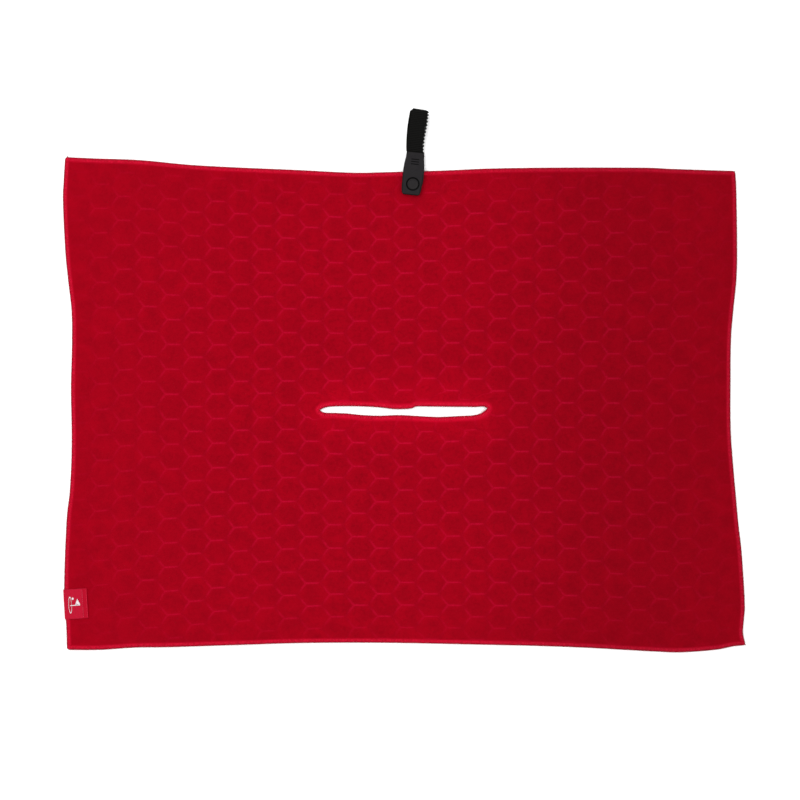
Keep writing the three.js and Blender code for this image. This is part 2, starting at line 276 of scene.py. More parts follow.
def drape(s, t):
    """Where a point of the flat cut lies: drawn out to the four edges, and opened at the slit."""
    s, t = rounded(s, t)
    u = (s - CUT["left"]) / (CUT["right"] - CUT["left"])
    v = (t - CUT["low"]) / (CUT["high"] - CUT["low"])
    tl, tr, br, bl = (np.array(c, float) for c in CORNERS)
    x = lerp(left_x(lerp(bl[1], tl[1], v)), right_x(lerp(br[1], tr[1], v)), u)
    y = lerp(bottom_y(lerp(bl[0], br[0], u)), top_y(lerp(tl[0], tr[0], u)), v)
    share = smooth(1 - np.abs(x) / SLIT_REACH)
    above = np.clip((CUT["high"] - t) / (CUT["high"] - SLIT_T), 0, 1) ** 1.5
    below = np.clip((t - CUT["low"]) / (SLIT_T - CUT["low"]), 0, 1) ** 1.5
    return x, y + SLIT_OPEN * share * np.where(t > SLIT_T, above, -below)


def run_off(s, t):
    """How far the embossed pattern has wandered off the flat cut: the cloth was pulled askew."""
    a, b = s / 380, t / 270
    across = -3.4 + 6.6 * a + 2.8 * b + 2.9 * a * b - 3.4 * a**2 - 5.9 * a**3 - 11.4 * a * b**2
    along = -0.5 + 3.3 * a + 2.9 * b - 0.8 * a * b - a**2 + 5.5 * a**3 + 5.8 * a**2 * b - 7.7 * b**3
    return across, along


def hex_distance(s, t):
    """How far a point of the flat cut is from the nearest side of its hexagon."""
    rise, run = HEX["along"] / 2, HEX["across"] - HEX["flat"]
    steep = np.array([rise, run]) / math.hypot(rise, run)
    column = np.floor(s / HEX["across"])
    best = -np.inf
    for k in (column, column + 1):
        dx = np.abs(s - k * HEX["across"])
        dy = t - HEX["row"] - np.mod(k, 2) * rise
        dy = np.abs(dy - HEX["along"] * np.round(dy / HEX["along"]))
        flat, slant = rise - dy, (HEX["flat"] / 2 + run - dx) * steep[0] - dy * steep[1]
        soft = np.maximum(ROUND_PAD - np.abs(flat - slant), 0) / ROUND_PAD
        best = np.maximum(best, np.minimum(flat, slant) - soft**3 * ROUND_PAD / 6)
    return best


def emboss(x, y):
    """How deeply the hexagons are pressed: deepest in the middle, faint towards the ends."""
    middle = (1 - (x / 385) ** 2) * (1 - 0.35 * (y / 275) ** 2)
    return np.clip(0.2 + 0.85 * middle + 0.08 * ripple(x, y, 150, 3), 0.15, 1.0)


def lift(x, y):
    """How far the cloth stands off the table in slow waves."""
    from_strap = np.hypot(x - SNAP_AT[0], y - SNAP_AT[1])
    from_label = np.hypot(x - LABEL_AT[0] - 13, y - LABEL_AT[1])
    calm = smooth((from_strap - 40) / 70) * smooth((from_label - 25) / 60)
    to_edge = np.minimum.reduce((x - left_x(y), right_x(y) - x, top_y(x) - y, y - bottom_y(x)))
    edge = smooth(1 - to_edge / 45)
    waves = 0.5 * (1 + ripple(x, y, 210, 11)) + 0.5 * edge * (1 + ripple(x, y, 75, 12))
    fold = (x - 345) * 0.62 + (y + 238) * 0.78
    crease = np.exp(-((fold / 9) ** 2)) * smooth((x - 270) / 70) * smooth((-150 - y) / 60)
    return np.maximum(calm * (waves + 1.5 * crease), 0.0)


def stacked(points):
    """Points at a height in the cloth's own thickness, set over what is sewn behind it."""
    x, y, z = points[..., 0], points[..., 1], points[..., 2]
    web = over_strap(x, y, 16, 20, 5)
    low = np.maximum(OVER_WEB * web, OVER_LABEL * over_label(x, y))
    high = CLOTH_T + WEB_SHOWS * web
    z = low + z * (high - low) / CLOTH_T + lift(x, y)
    snap = np.hypot(x - SNAP_AT[0], y - SNAP_AT[1])
    z = np.where(z > 2, z - SNAP_DENT * smooth((10.5 - snap) / 4), z)
    return np.stack([x, y, z], axis=-1)


def cloth_half(x, y, s, t, inset):
    """Half the cloth's thickness: domed pads, pressed lines, and a pinched edge."""
    across, along = run_off(s, t)
    d = hex_distance(s - across, t - along)
    relief = emboss(x, y) * (DOME * smooth(d / 8) - GROOVE * np.exp(-((d / GROOVE_W) ** 2)))
    tufts = 0.05 * ripple(x, y, 9, 21, 10)
    calm = 1 - np.maximum(over_strap(x, y, 17, 24, 6), over_label(x, y))
    return lerp(RIM_HALF, PAD_HALF + (relief + tufts) * calm, smooth((inset - 1.4) / 5.2))


# ======== Meshes ========


def make(name, points, faces, material, sharp=None, **attributes):
    """A mesh object from towel-frame millimetres."""
    mesh = bpy.data.meshes.new(name)
    row = (np.asarray(points, float) + TOWEL_AT) * MM
    mesh.from_pydata(row.tolist(), [], [tuple(f) for f in faces])
    for key, values in attributes.items():
        values = np.asarray(values, np.float32)
        kind = "FLOAT" if values.ndim == 1 else "FLOAT_VECTOR"
        layer = mesh.attributes.new(key, kind, "POINT")
        layer.data.foreach_set("value" if values.ndim == 1 else "vector", values.ravel())
    mesh.shade_smooth()
    if sharp:
        mesh.set_sharp_from_angle(angle=math.radians(sharp))
    mesh.materials.append(material)
    made = bpy.data.objects.new(name, mesh)
    bpy.context.scene.collection.objects.link(made)
    return made


def face_out(o):
    """Turns every face of a closed mesh outwards."""
    b = bmesh.new()
    b.from_mesh(o.data)
    bmesh.ops.recalc_face_normals(b, faces=b.faces)
    b.to_mesh(o.data)
    b.free()
    return o


class Pile:
    """Points and faces that are gathered into one mesh."""

    def __init__(self):
        self.points, self.faces, self.values, self.count = [], [], {}, 0

    def add(self, points, faces, **values):
        points = np.asarray(points, float).reshape(-1, 3)
        self.points.append(points)
        self.faces.extend(tuple(int(k) + self.count for k in f) for f in faces)
        for key, value in values.items():
            self.values.setdefault(key, []).append(np.broadcast_to(value, (len(points),)))
        self.count += len(points)

    def thread(self, points, side, radius, sides, strand, darkening):
        """Adds a thread whose points know how far along the yarn they are and how far they are
        darkened: painted shade where loops turn over a cut edge, and darker tails and wisps.
        """
        made, faces = tube(points, side, radius, sides)
        each = (np.repeat(np.broadcast_to(v, (len(points),)), sides) for v in (strand, darkening))
        self.add(made, faces, **dict(zip(("strand", "darkening"), each)))

    def make(self, name, material, sharp=None):
        values = {k: np.concatenate(v) for k, v in self.values.items()}
        points = np.concatenate(self.points)
        return make(name, points, self.faces, material, sharp, **values)


def tube(points, side, radius, sides):
    """A thread along the points. `side` is a direction that is never along it."""
    p = np.asarray(points, float)
    along = unit(np.gradient(p, axis=0))
    side = np.broadcast_to(np.asarray(side, float), p.shape)
    across = unit(side - (side * along).sum(1, keepdims=True) * along)
    other = np.cross(along, across)
    a = np.linspace(0, 2 * math.pi, sides, endpoint=False)
    radius = np.broadcast_to(radius, (len(p),))[:, None, None]
    turns = (np.cos(a)[None, :, None], np.sin(a)[None, :, None])
    ring = radius * (turns[0] * across[:, None] + turns[1] * other[:, None])
    n = len(p)
    i, k = np.meshgrid(np.arange(n - 1), np.arange(sides), indexing="ij")
    a0, a1 = i * sides + k, i * sides + (k + 1) % sides
    quads = np.stack([a0, a1, a1 + sides, a0 + sides], -1).reshape(-1, 4)
    ends = [tuple(range(sides))[::-1], tuple(range((n - 1) * sides, n * sides))]
    return (p[:, None] + ring).reshape(-1, 3), [*quads.tolist(), *ends]


def rim_of(grid):
    """The rim of a grid of vertices, from the left end of its last row right round."""
    return np.concatenate([grid[-1, :-1], grid[:0:-1, -1], grid[0, :0:-1], grid[:-1, 0]])


def rim_shares(s, t):
    """For each side of such a rim, how far along the side each of its vertices is."""
    lines = (s, -t[::-1], -s[::-1], t)
    return [(line[:-1] - line[0]) / (line[-1] - line[0]) for line in lines]


def ribbon(name, points, along, across, material, sharp=None):
    """A closed strip: the points of its front, then of its back, and the weave's own places."""
    rows, columns = across.shape
    n = rows * columns
    grid = np.arange(n).reshape(rows, columns)
    quads = np.stack([grid[:-1, :-1], grid[:-1, 1:], grid[1:, 1:], grid[1:, :-1]], -1)
    quads = quads.reshape(-1, 4)
    ring = rim_of(grid[::-1])
    after = np.roll(ring, -1)
    rim = np.stack([ring, after, after + n, ring + n], -1)
    weave = np.stack(np.broadcast_arrays(along[:, None], across, 0.0 * across), -1).reshape(-1, 3)
    faces = [*quads.tolist(), *(quads[:, ::-1] + n).tolist(), *rim.tolist()]
    return face_out(make(name, points, faces, material, sharp, flat=np.concatenate([weave, weave])))


def zipped(a, at_a, b, at_b):
    """Triangles between two closed rings of vertices, matched by how far round each vertex is."""
    faces, i, k = [], 0, 0
    while i < len(a) or k < len(b):
        next_a = at_a[i + 1] if i + 1 < len(a) else 1.0
        next_b = at_b[k + 1] if k + 1 < len(b) else 1.0
        if k >= len(b) or (i < len(a) and next_a <= next_b):
            faces.append((a[i % len(a)], a[(i + 1) % len(a)], b[k % len(b)]))
            i += 1
        else:
            faces.append((a[i % len(a)], b[(k + 1) % len(b)], b[k % len(b)]))
            k += 1
    return faces


# ======== Slit ========


def slit_curve(samples=900):
    """The slit's opening as evenly spaced points, and the way out into the cloth at each."""
    p = np.array(SLIT, float)
    n = len(p)
    points = []
    for i in range(n):
        a, b, c, d = p[i - 1], p[i], p[(i + 1) % n], p[(i + 2) % n]
        t0, t1, t2 = (max(np.linalg.norm(v) ** 0.5, 1e-6) for v in (b - a, c - b, d - c))
        v0 = ((b - a) / t0 - (c - a) / (t0 + t1) + (c - b) / t1) * t1
        v1 = ((c - b) / t1 - (d - b) / (t1 + t2) + (d - c) / t2) * t1
        points.append(hermite(b, c, v0, v1, np.linspace(0, 1, 24, endpoint=False)[:, None]))
    closed = np.vstack([*points, points[0][:1]])
    along = lengths_along(closed)
    at = np.linspace(0, along[-1], samples, endpoint=False)
    even = np.stack([np.interp(at, along, closed[:, k]) for k in range(2)], -1)
    ahead = np.roll(even, -6, axis=0) - np.roll(even, 6, axis=0)
    out = unit(np.stack([-ahead[:, 1], ahead[:, 0]], -1))
    return even - SPREAD * out, out, along[-1]


SLIT_RING, SLIT_OUT, SLIT_ROUND = slit_curve()


def slit_at(share):
    """A point on the slit's opening and its way out, at a share of the way round."""
    at = np.mod(share, 1.0) * len(SLIT_RING)
    i = np.floor(at).astype(int) % len(SLIT_RING)
    k = (i + 1) % len(SLIT_RING)
    f = (at - np.floor(at))[..., None]
    return lerp(SLIT_RING[i], SLIT_RING[k], f), unit(lerp(SLIT_OUT[i], SLIT_OUT[k], f))


def slit_share(x, y):
    """How far round the slit the point nearest to (x, y) is."""
    return float(np.argmin(np.hypot(SLIT_RING[:, 0] - x, SLIT_RING[:, 1] - y))) / len(SLIT_RING)


# ======== Cloth ========

BORDER = [RIM_INSET, 1.7, 2.8, 4.0, 5.2, 6.8, 8.8]
SLIT_BLOCK = (-115.0, 111.0, -27.0, 14.0)  # the patch of the flat cut that is meshed in rings
SLIT_RINGS = [11.0, 8.6, 6.8, 5.4, 4.2, 3.0, 1.8, RIM_INSET]
SLIT_CORNERS = [(-93, -3.5), (92.5, -2.8), (92, -9.2), (-90, -9.6)]


def lattice(low, high, start, pitch, steps):
    """Mesh lines along the hexagons between two edges, and closer ones along the edges."""
    first = math.floor((low - start) / pitch) - 1
    last = math.ceil((high - start) / pitch) + 1
    lines = [start + pitch * (i + k) for i in range(first, last) for k in steps]
    middle = [v for v in lines if low + BORDER[-1] + 1.2 < v < high - BORDER[-1] - 1.2]
    return np.array([low + b for b in BORDER] + middle + [high - b for b in BORDER[::-1]])


def cloth_side(top, flat_steps, slant_steps):
    """One face of the cloth as points, flat places, faces, and its outer and slit rings."""
    share = HEX["flat"] / HEX["across"]
    across = [share * k for k in flat_steps] + [share + (1 - share) * k for k in slant_steps]
    s = lattice(CUT["left"], CUT["right"], -HEX["flat"] / 2, HEX["across"], across)
    t = lattice(CUT["low"], CUT["high"], HEX["row"], HEX["along"] / 2, slant_steps)
    nt, ns = len(t), len(s)
    i0, i1 = (int(np.argmin(np.abs(s - v))) for v in SLIT_BLOCK[:2])
    j0, j1 = (int(np.argmin(np.abs(t - v))) for v in SLIT_BLOCK[2:])
    S, T = np.meshgrid(s, t)
    to_sides = (S - CUT["left"], CUT["right"] - S, T - CUT["low"], CUT["high"] - T)
    inset = np.minimum.reduce(to_sides)
    past_s = np.maximum(np.maximum(s[i0] - S, S - s[i1]), 0)
    past_t = np.maximum(np.maximum(t[j0] - T, T - t[j1]), 0)
    follow = smooth((inset - 9) / 36) * smooth(np.hypot(past_s, past_t) / 24)
    across, along = run_off(S, T)
    S, T = S + follow * across, T + follow * along
    x, y = drape(S, T)
    grid = np.arange(nt * ns).reshape(nt, ns)
    j, i = np.meshgrid(np.arange(nt - 1), np.arange(ns - 1), indexing="ij")
    keep = ~((i >= i0) & (i < i1) & (j >= j0) & (j < j1))
    j, i = j[keep], i[keep]
    corners = np.stack([grid[j, i], grid[j, i + 1], grid[j + 1, i + 1], grid[j + 1, i]], -1)
    cell = np.floor(((s[i] + s[i + 1]) / 2 + HEX["flat"] / 2) / HEX["across"])
    band = np.floor(((t[j] + t[j + 1]) / 2 - HEX["row"]) / (HEX["along"] / 2))
    rising = np.mod(cell + band, 2) == 1
    order = np.where(rising[:, None], [0, 1, 2, 0, 2, 3], [0, 1, 3, 1, 2, 3])
    split = np.take_along_axis(corners, order, 1)
    faces = np.concatenate([split[:, :3], split[:, 3:]])

    # The rings round the slit, whose four corners are matched to the patch's
    block = rim_of(grid[j0:j1 + 1, i0:i1 + 1])
    marks = [slit_share(*corner) for corner in SLIT_CORNERS]
    marks = [m + (0 if k == 0 or m > marks[0] else 1) for k, m in enumerate(marks)] + [marks[0] + 1]
    parts = rim_shares(s[i0:i1 + 1], t[j0:j1 + 1])
    shares = np.concatenate([lerp(marks[k], marks[k + 1], v) for k, v in enumerate(parts)])
    at, out = slit_at(shares)
    columns = [[v.ravel()] for v in (x, y, S, T, inset)]
    bx, by, bs, bt = (v[0][block] for v in columns[:4])
    rim_s = np.where(np.abs(out[:, 0]) > 0.5, at[:, 0] - 3.3, bs)
    rim_t = SLIT_T + np.sign(out[:, 1]) * 1.4
    rings = [block]
    for k, outset in enumerate(SLIT_RINGS):
        w = np.clip((outset - 4.5) / 14.0, 0, 1)
        share = np.clip((outset - RIM_INSET) / 15.0, 0, 1)
        ring = (
            lerp(at[:, 0] + out[:, 0] * outset, bx, w), lerp(at[:, 1] + out[:, 1] * outset, by, w),
            lerp(rim_s, bs, share), lerp(rim_t, bt, share), np.full(len(block), outset),
        )
        for column, values in zip(columns, ring):
            column.append(values)
        rings.append(nt * ns + k * len(block) + np.arange(len(block)))
    extra = []
    for outer, inner in zip(rings, rings[1:]):
        o2, n2 = np.roll(outer, -1), np.roll(inner, -1)
        extra += [np.stack([outer, inner, n2], -1), np.stack([outer, n2, o2], -1)]
    faces = np.concatenate([faces, *extra])

    x, y, flat_s, flat_t, inset = (np.concatenate(v) for v in columns)
    half = cloth_half(x, y, flat_s, flat_t, inset)
    points = stacked(np.stack([x, y, CLOTH_T / 2 + half * (1 if top else -1)], -1))
    across, along = run_off(flat_s, flat_t)
    flat = np.stack([flat_s - across, flat_t - along], -1)
    round_it = np.concatenate([k + v for k, v in enumerate(rim_shares(s, t))]) / 4
    return {
        "points": points, "flat": flat, "faces": faces, "inset": inset, "border": rim_of(grid),
        "border_at": round_it, "slit": rings[-1], "slit_at": shares - shares[0],
    }


def make_cloth(material):
    front = cloth_side(True, [0.0, 0.085, 0.3, 0.5, 0.7, 0.915], [0.0, 0.13, 0.36, 0.64, 0.87])
    back = cloth_side(False, [0.0, 0.25, 0.5, 0.75], [0.0, 0.26, 0.74])
    shift = len(front["points"])
    points = np.concatenate([front["points"], back["points"]])
    flat = np.concatenate([front["flat"], back["flat"]])
    faces = [front["faces"], back["faces"][:, ::-1] + shift]
    for key in ("border", "slit"):
        rim = zipped(front[key], front[key + "_at"], back[key] + shift, back[key + "_at"])
        faces.append(np.array(rim))
    faces = np.concatenate(faces)
    used, faces = np.unique(faces, return_inverse=True)
    faces = faces.reshape(-1, 3)
    points, flat = points[used], flat[used]
    inset = np.minimum(np.concatenate([front["inset"], back["inset"]])[used], 60.0)
    pressed = emboss(points[:, 0], points[:, 1])
    pressed = pressed * (1 - over_strap(points[:, 0], points[:, 1], 17, 24, 6))
    flat = np.column_stack([flat, np.zeros(len(flat))])
    cloth = make("cloth", points, faces.tolist(), material, flat=flat, pressed=pressed, inset=inset)
    return face_out(cloth)


# ======== Overlock ========

# One loop over the edge, from the cut up to the needle line: distance in, height over the middle
LOOP = [(0.3, 0.0), (0.4, 0.42), (0.9, 0.78), (1.8, 0.92), (2.8, 1.0), (3.6, 1.02), (BAND, 0.86)]


def edge_place(side, along, inset):
    """A place on one side's edge, `along` it from its first corner and `inset` from its cut."""
    across, up = (along, inset) if side % 2 == 0 else (inset, along)
    s = CUT["right"] - across if side in (1, 2) else CUT["left"] + across
    return drape(s, CUT["high"] - up if side < 2 else CUT["low"] + up)


def slit_place(along, inset):
    at, out = slit_at(along / SLIT_ROUND)
    inset = np.asarray(inset)[..., None]
    return at[..., 0] + (out * inset)[..., 0], at[..., 1] + (out * inset)[..., 1]


def overlock(place, start, end, seed, raise_ends=0.0):
    """Looper threads over and under an edge and the needle thread that holds them."""
    rng = np.random.default_rng(seed)
    count = int(round((end - start) / STITCH))
    pitch = (end - start) / count
    inset, height = (np.concatenate([v, v[::-1][1:-1]]) for v in np.array(LOOP).T)
    steps = np.arange(count)[:, None]
    pile = Pile()

    def step_of(along):
        at = np.full_like(along, 2.0)
        ahead, back = (np.stack(place(along + k, at), -1) for k in (0.5, -0.5))
        return np.column_stack([unit(ahead - back), np.zeros(len(along))])

    def lay(along, e, z, side, radius, sides):
        ends = smooth(1 - np.minimum(along - start, end - along) / 6)
        z = CLOTH_T / 2 + z + raise_ends * ends * np.sign(z)
        points = stacked(np.column_stack([*place(along, e), z]))
        # Painted shade: the loops are darkened where they turn over the cut edge
        darkening = 0.64 * (1 - smooth((e - 0.5) / 2.0))
        pile.thread(points, side, radius, sides, np.arange(len(points)) / 2.0, darkening)

    for face, sides in ((1, 6), (-1, 5)):
        reach = 1 + 0.05 * rng.standard_normal(count)
        swing = 0.07 * pitch * rng.standard_normal(count)
        part = np.linspace(0, 1, len(inset), endpoint=False)
        along = start + pitch * (steps + part) + swing[:, None] * np.sin(math.pi * part)
        along = np.clip(along.ravel() + (0.0 if face > 0 else pitch / 2), start, end)
        e = (inset * np.where(inset > 1, reach[:, None], 1.0)).ravel()
        radius = THREAD_R * (1 + 0.05 * np.sin(np.arange(len(along)) * 1.7))
        lay(along, e, np.tile(height * face, count), step_of(along), radius, sides)

    along = (start + pitch * (steps + np.array([0.0, 0.22, 0.5, 0.78]))).ravel()
    bob = np.tile([0.78, 1.12, 1.2, 1.12], count)
    lay(along, np.full(len(along), BAND - 0.15), bob, (0.0, 0.0, 1.0), 0.26, 5)
    return pile


def slit_wisps(pile):
    """Fine ends of thread that cross the slit near its right tip."""
    for start, end, bow in (
        ((86.6, -8.6), (91.2, -2.6), 0.7),
        ((88.4, -8.2), (92.8, -3.2), -0.4),
        ((84.2, -9.9), (87.6, -6.4), 0.9),
    ):
        t = np.linspace(0, 1, 14)
        x, y = (lerp(a, b, t) for a, b in zip(start, end))
        points = np.column_stack([x + bow * np.sin(math.pi * t), y, 1.5 + 0.3 * np.sin(7 * t)])
        pile.thread(stacked(points), (0, 0, 1), 0.1, 5, t * 6, 0.3)


def thread_tail(pile, corner, heading, length, seed, count=16):
    """A loose end of chained thread at a corner."""
    t = np.linspace(0, 1, count)
    turn = heading + np.random.default_rng(seed).uniform(-0.7, 0.7) * t**1.4
    step = length / (count - 1)
    x = corner[0] + np.cumsum(np.cos(turn)) * step
    y = corner[1] + np.cumsum(np.sin(turn)) * step
    spread = 0.32 * (1 - 0.4 * t)
    for k in range(3):
        twist = 7 * t + 2 * math.pi * k / 3
        aside = spread * np.cos(twist)
        z = 1.0 - 0.35 * t + spread * np.sin(twist)
        p = np.column_stack([x - np.sin(turn) * aside, y + np.cos(turn) * aside, z])
        p[:, 2] += lift(p[:, 0], p[:, 1]) * (1 - t)
        pile.thread(p, (0, 0, 1), 0.2 * (1 - 0.25 * t), 5, np.arange(count) / 2.0, 0.6 + 0.4 * t)


# ======== Side label ========


def label_path():
    """The ribbon's middle line from its front end round the towel's edge to its back end: X, Z."""
    high, low = LABEL_TOP + LABEL["thick"] / 2, LABEL_UNDER + LABEL["thick"] / 2
    front_x = np.linspace(LABEL["depth"], LABEL_BEND, LABEL_ROWS)
    turn = np.linspace(math.pi / 2, 3 * math.pi / 2, 17)[1:-1]
    bend_z = (high + low) / 2 + (high - low) / 2 * np.sin(turn)
    x = np.concatenate([front_x, LABEL_BEND + 3.9 * np.cos(turn), front_x[::-1]])
    z = np.concatenate([np.full(LABEL_ROWS, high), bend_z, np.full(LABEL_ROWS, low)])
    return x, z


def label_press(x, y, front):
    """How the sewn line and the soft cloth under it shape the ribbon."""
    sewn = np.abs(y) < LABEL["length"] / 2 - 1
    seam = -0.3 * np.exp(-(((x - LABEL["seam"]) / 1.1) ** 2)) * sewn
    if not front:
        return -seam * 0.4
    curl = 0.35 * smooth((x - 22.5) / 3.5)
    pillow = 0.12 * np.sin(np.clip(x / 20, 0, 1) * math.pi) + 0.05 * ripple(x, y, 14, 31)
    return seam + curl + pillow - 0.12 * smooth((np.abs(y) - 15.5) / 1.5)


def on_lifted_label(points):
    points = on_label(points)
    points[:, 2] += lift(points[:, 0], points[:, 1])
    return points


def make_label(material):
    x, z = label_path()
    along = lengths_along(np.column_stack([x, z]))
    tangent = unit(np.stack([np.gradient(x), np.gradient(z)], -1))
    across = np.linspace(-0.5, 0.5, 60) * LABEL["length"]
    X = np.broadcast_to(x[:, None], (len(x), len(across)))
    Y = across * (1 + 0.004 * np.sin(along[:, None] * 0.8)) + 0.12 * np.sin(along[:, None] * 0.35)
    thin = np.clip(1 - (np.abs(across) / (LABEL["length"] / 2)) ** 40, 0.15, 1)
    half = LABEL["thick"] / 2 * np.sqrt(thin)
    front = (np.arange(len(x)) < LABEL_ROWS)[:, None]
    behind = np.where(X > LABEL_BEND + 0.1, label_press(X, Y, False), 0)
    press = np.where(front, label_press(X, Y, True), behind)
    layers = []
    for face in (half, -half):
        pz = z[:, None] - face * tangent[:, :1] + press
        layers.append(np.stack([X + face * tangent[:, 1:], Y, pz], -1).reshape(-1, 3))
    points = on_lifted_label(np.concatenate(layers))
    return ribbon("label_ribbon", points, along, Y, material, sharp=50)


def stitch_run(pile, x, y, z, radius, sag=0.16):
    """One raised stitch between two points of the label's own frame."""
    t = np.linspace(0, 1, 6)
    sagging = z + sag * np.sin(math.pi * t) - sag / 2
    points = on_lifted_label(np.column_stack([lerp(*x, t), lerp(*y, t), sagging]))
    taper = 0.55 + 0.45 * np.sin(math.pi * np.clip(t, 0.02, 0.98)) ** 0.5
    pile.thread(points, (0, 0, 1), radius * taper, 6, t * 3, 0.0)


def make_label_seam(material, length=31.0):
    """The stitches through the label, and the finer ones that hold its folded end."""
    pile = Pile()
    for at, count, radius, z, is_through in (
        (LABEL["seam"], 13, 0.34, 3.52, True), (LABEL["inner"], 16, 0.22, 3.72, False),
    ):
        for k in range(count):
            y0, y1 = (-length / 2 + length * (k + part) / count for part in (0.1, 0.72))
            stitch_run(pile, (at, at), (y0, y1), z, radius)
            if is_through:
                stitch_run(pile, (at, at), (y0 + 1.3, min(y1 + 1.3, length / 2)), 0.16, 0.16, 0.0)
    return pile.make("label_seam_thread", material)


def make_label_motif(material, z=3.76):
    """A flag in a hole and a ball beside it, in raised white thread, its top towards the cloth."""
    pile = Pile()
    pole_y, foot, top = -1.6, 6.4, 17.6
    for x in np.arange(foot, top, 0.34):
        stitch_run(pile, (x, x + 0.17), (pole_y - 0.42, pole_y + 0.42), z, 0.2, 0.08)
    for x in np.arange(top - 5.6, top, 0.32):
        reach = 7.2 * (1 - abs((x - (top - 2.8)) / 2.9))
        if reach > 0.5:
            stitch_run(pile, (x, x), (pole_y + 0.5, pole_y + 0.5 + reach), z, 0.19, 0.1)
    for turn in np.arange(0, 2 * math.pi, 0.075):
        c, s = math.cos(turn), math.sin(turn)
        x, y = (foot + 1.25 * c, foot + 2.05 * c), (8.6 * s - 1.0, 9.5 * s - 1.0)
        stitch_run(pile, x, y, z, 0.17, 0.06)
    for y in np.arange(-1.2, 1.3, 0.3):
        reach = math.sqrt(1.3**2 - y * y)
        stitch_run(pile, (9.6 - reach, 9.6 + reach), (6.0 + y, 6.0 + y), z, 0.19, 0.1)
    return pile.make("label_motif", material)


# ======== Webbing ========


def web_route():
    """The webbing's middle line up the back, round the fold and into the tab: Y, Z and length."""
    fold_z = FOLD_R + WEB_T / 2
    reach_y, reach_z = FOLD_Y - PEEL_Y, fold_z - WEB_Z
    slope = math.atan2(reach_z, reach_y) + math.asin(FOLD_R / math.hypot(reach_y, reach_z))
    back = [(y, WEB_T / 2) for y in np.arange(TAIL_Y, FOLD_Y, 0.5)]
    turn = np.linspace(-math.pi / 2, math.pi / 2 + slope, 60)
    fold = [(FOLD_Y + FOLD_R * math.cos(a), fold_z + FOLD_R * math.sin(a)) for a in turn]
    leave = np.array(fold[-1])
    peel = np.array([PEEL_Y, WEB_Z])
    front = [tuple(lerp(leave, peel, k)) for k in np.linspace(0, 1, 90)[1:]]
    end = [(y, WEB_Z) for y in np.arange(PEEL_Y - 0.5, WEB_END - 0.01, -0.5)]
    route = np.array([*back, *fold, *front, *end])
    along = lengths_along(route)
    even = np.linspace(0, along[-1], int(along[-1] / 0.36))
    y, z = (np.interp(even, along, route[:, k]) for k in range(2))
    ease = np.ones(9) / 9
    padded = [np.convolve(np.pad(v, 4, mode="edge"), ease, mode="valid") for v in (y, z)]
    return padded[0], padded[1], even


def web_piece(name, chosen, material, route):
    """One stretch of the ribbed webbing as a closed mesh."""
    tangent = unit(np.stack([np.gradient(route[0]), np.gradient(route[1])], -1))[chosen]
    # Down the strip these are columns, and across it w is a row
    y, z, along = (v[chosen][:, None] for v in route)
    w = np.linspace(-1, 1, 60)[None, :]

    swell = np.sin(math.pi * np.clip((y - 30) / 62, 0, 1))
    low = smooth((7.5 - z) / 4.5)
    leans = lerp(-1.5 + 1.15 * smooth((y - 50) / 24), -1.15, low)
    X = w * WEB_HALF + leans * smooth((y - 33) / 7) - 2.2 * swell * low
    # The right edge is scalloped by the ribs, but the hidden end draws in where the tab's side does
    scallop = np.abs(np.cos(math.pi * along / (2 * RIB))) - 0.45
    scallop = scallop * lerp(0.8, 1.9, smooth((z - 3) / 2))
    drawn_in = 1.1 * smooth((7 - y) / 6) * (z > 4)
    swells = scallop * smooth((y - 28) / 6) - drawn_in
    X = X + (w > 0) * smooth((w - 0.7) / 0.3) * swells
    # The fold's left corner is tucked in, and its right one slopes down
    tuck = 2.5 * smooth((y - route[0].max() + 2.6) / 2.6)
    X = X + tuck * np.clip((-w - 0.2) / 0.8, 0, 1)
    corner_drop = 0.9 * smooth((w - 0.8) / 0.2) + 0.45 * w - 0.45
    Y = y - np.exp(-(((y - 86) / 7) ** 2)) * corner_drop

    edge = np.clip((np.abs(w) - 0.93) / 0.07, 0, 1)
    thick = WEB_T / 2 * np.sqrt(1 - 0.92 * edge**2)
    rib = 0.5 + 0.5 * np.cos(2 * math.pi * along / RIB)
    row = np.mod(np.floor(along / RIB + 0.5), 2)
    warp = 0.5 + 0.5 * np.cos(2 * math.pi * w * 7.5 + math.pi * row)
    relief = (0.15 * rib**0.7 * (0.55 + 0.45 * warp) - 0.1) * (1 - edge * 0.6)
    is_back = (z < WEB_Z - 1.5) & (y < FOLD_Y)
    layers = []
    for face in (1, -1):
        offset = (thick + relief - 0.02) * face
        py = Y + tangent[:, 1:] * offset
        pz = z - tangent[:, :1] * offset
        over_post = 0.62 * smooth((7.2 - np.hypot(X, py)) / 1.5)
        pz = np.where(is_back & (face > 0), np.maximum(pz, over_post), pz)
        layers.append(np.stack([X, py, np.maximum(pz, 0.02)], -1).reshape(-1, 3))
    return ribbon(name, on_strap(np.concatenate(layers)), along[:, 0], X, material)


def bar_tack(name, at_y, material, passes=27):
    """A dense zigzag through the cloth and the webbing, and the passes that lie under it."""
    pile = Pile()
    x = np.linspace(-7.5, 7.5, passes)
    t = np.linspace(0, 1, 6)
    for z, radius, bulge in ((2.81, 0.17, 0.12), (0.09, 0.13, 0.0)):
        for k in range(passes - 1):
            y = at_y + lerp(-1.0, 1.0, t if k % 2 else 1 - t)
            p = np.column_stack([lerp(x[k], x[k + 1], t), y, z + bulge * np.sin(math.pi * t)])
            pile.thread(on_strap(p), (0, 0, 1), radius, 5, t * 3, 0.0)
    return pile.make(name, material)


# ======== Tab ========


TAB_SIDE = [
    (10.1, 35.7), (10.3, 31), (11.1, 25), (11.8, 18.5), (12, 10), (11.9, 3), (11.5, -5), (10.9, -9),
]
TAB_FOOT = -12.3


def bezier(a, b, c, t):
    """A curve from a to c that b draws towards itself."""
    return (1 - t) ** 2 * a + 2 * t * (1 - t) * b + t**2 * c


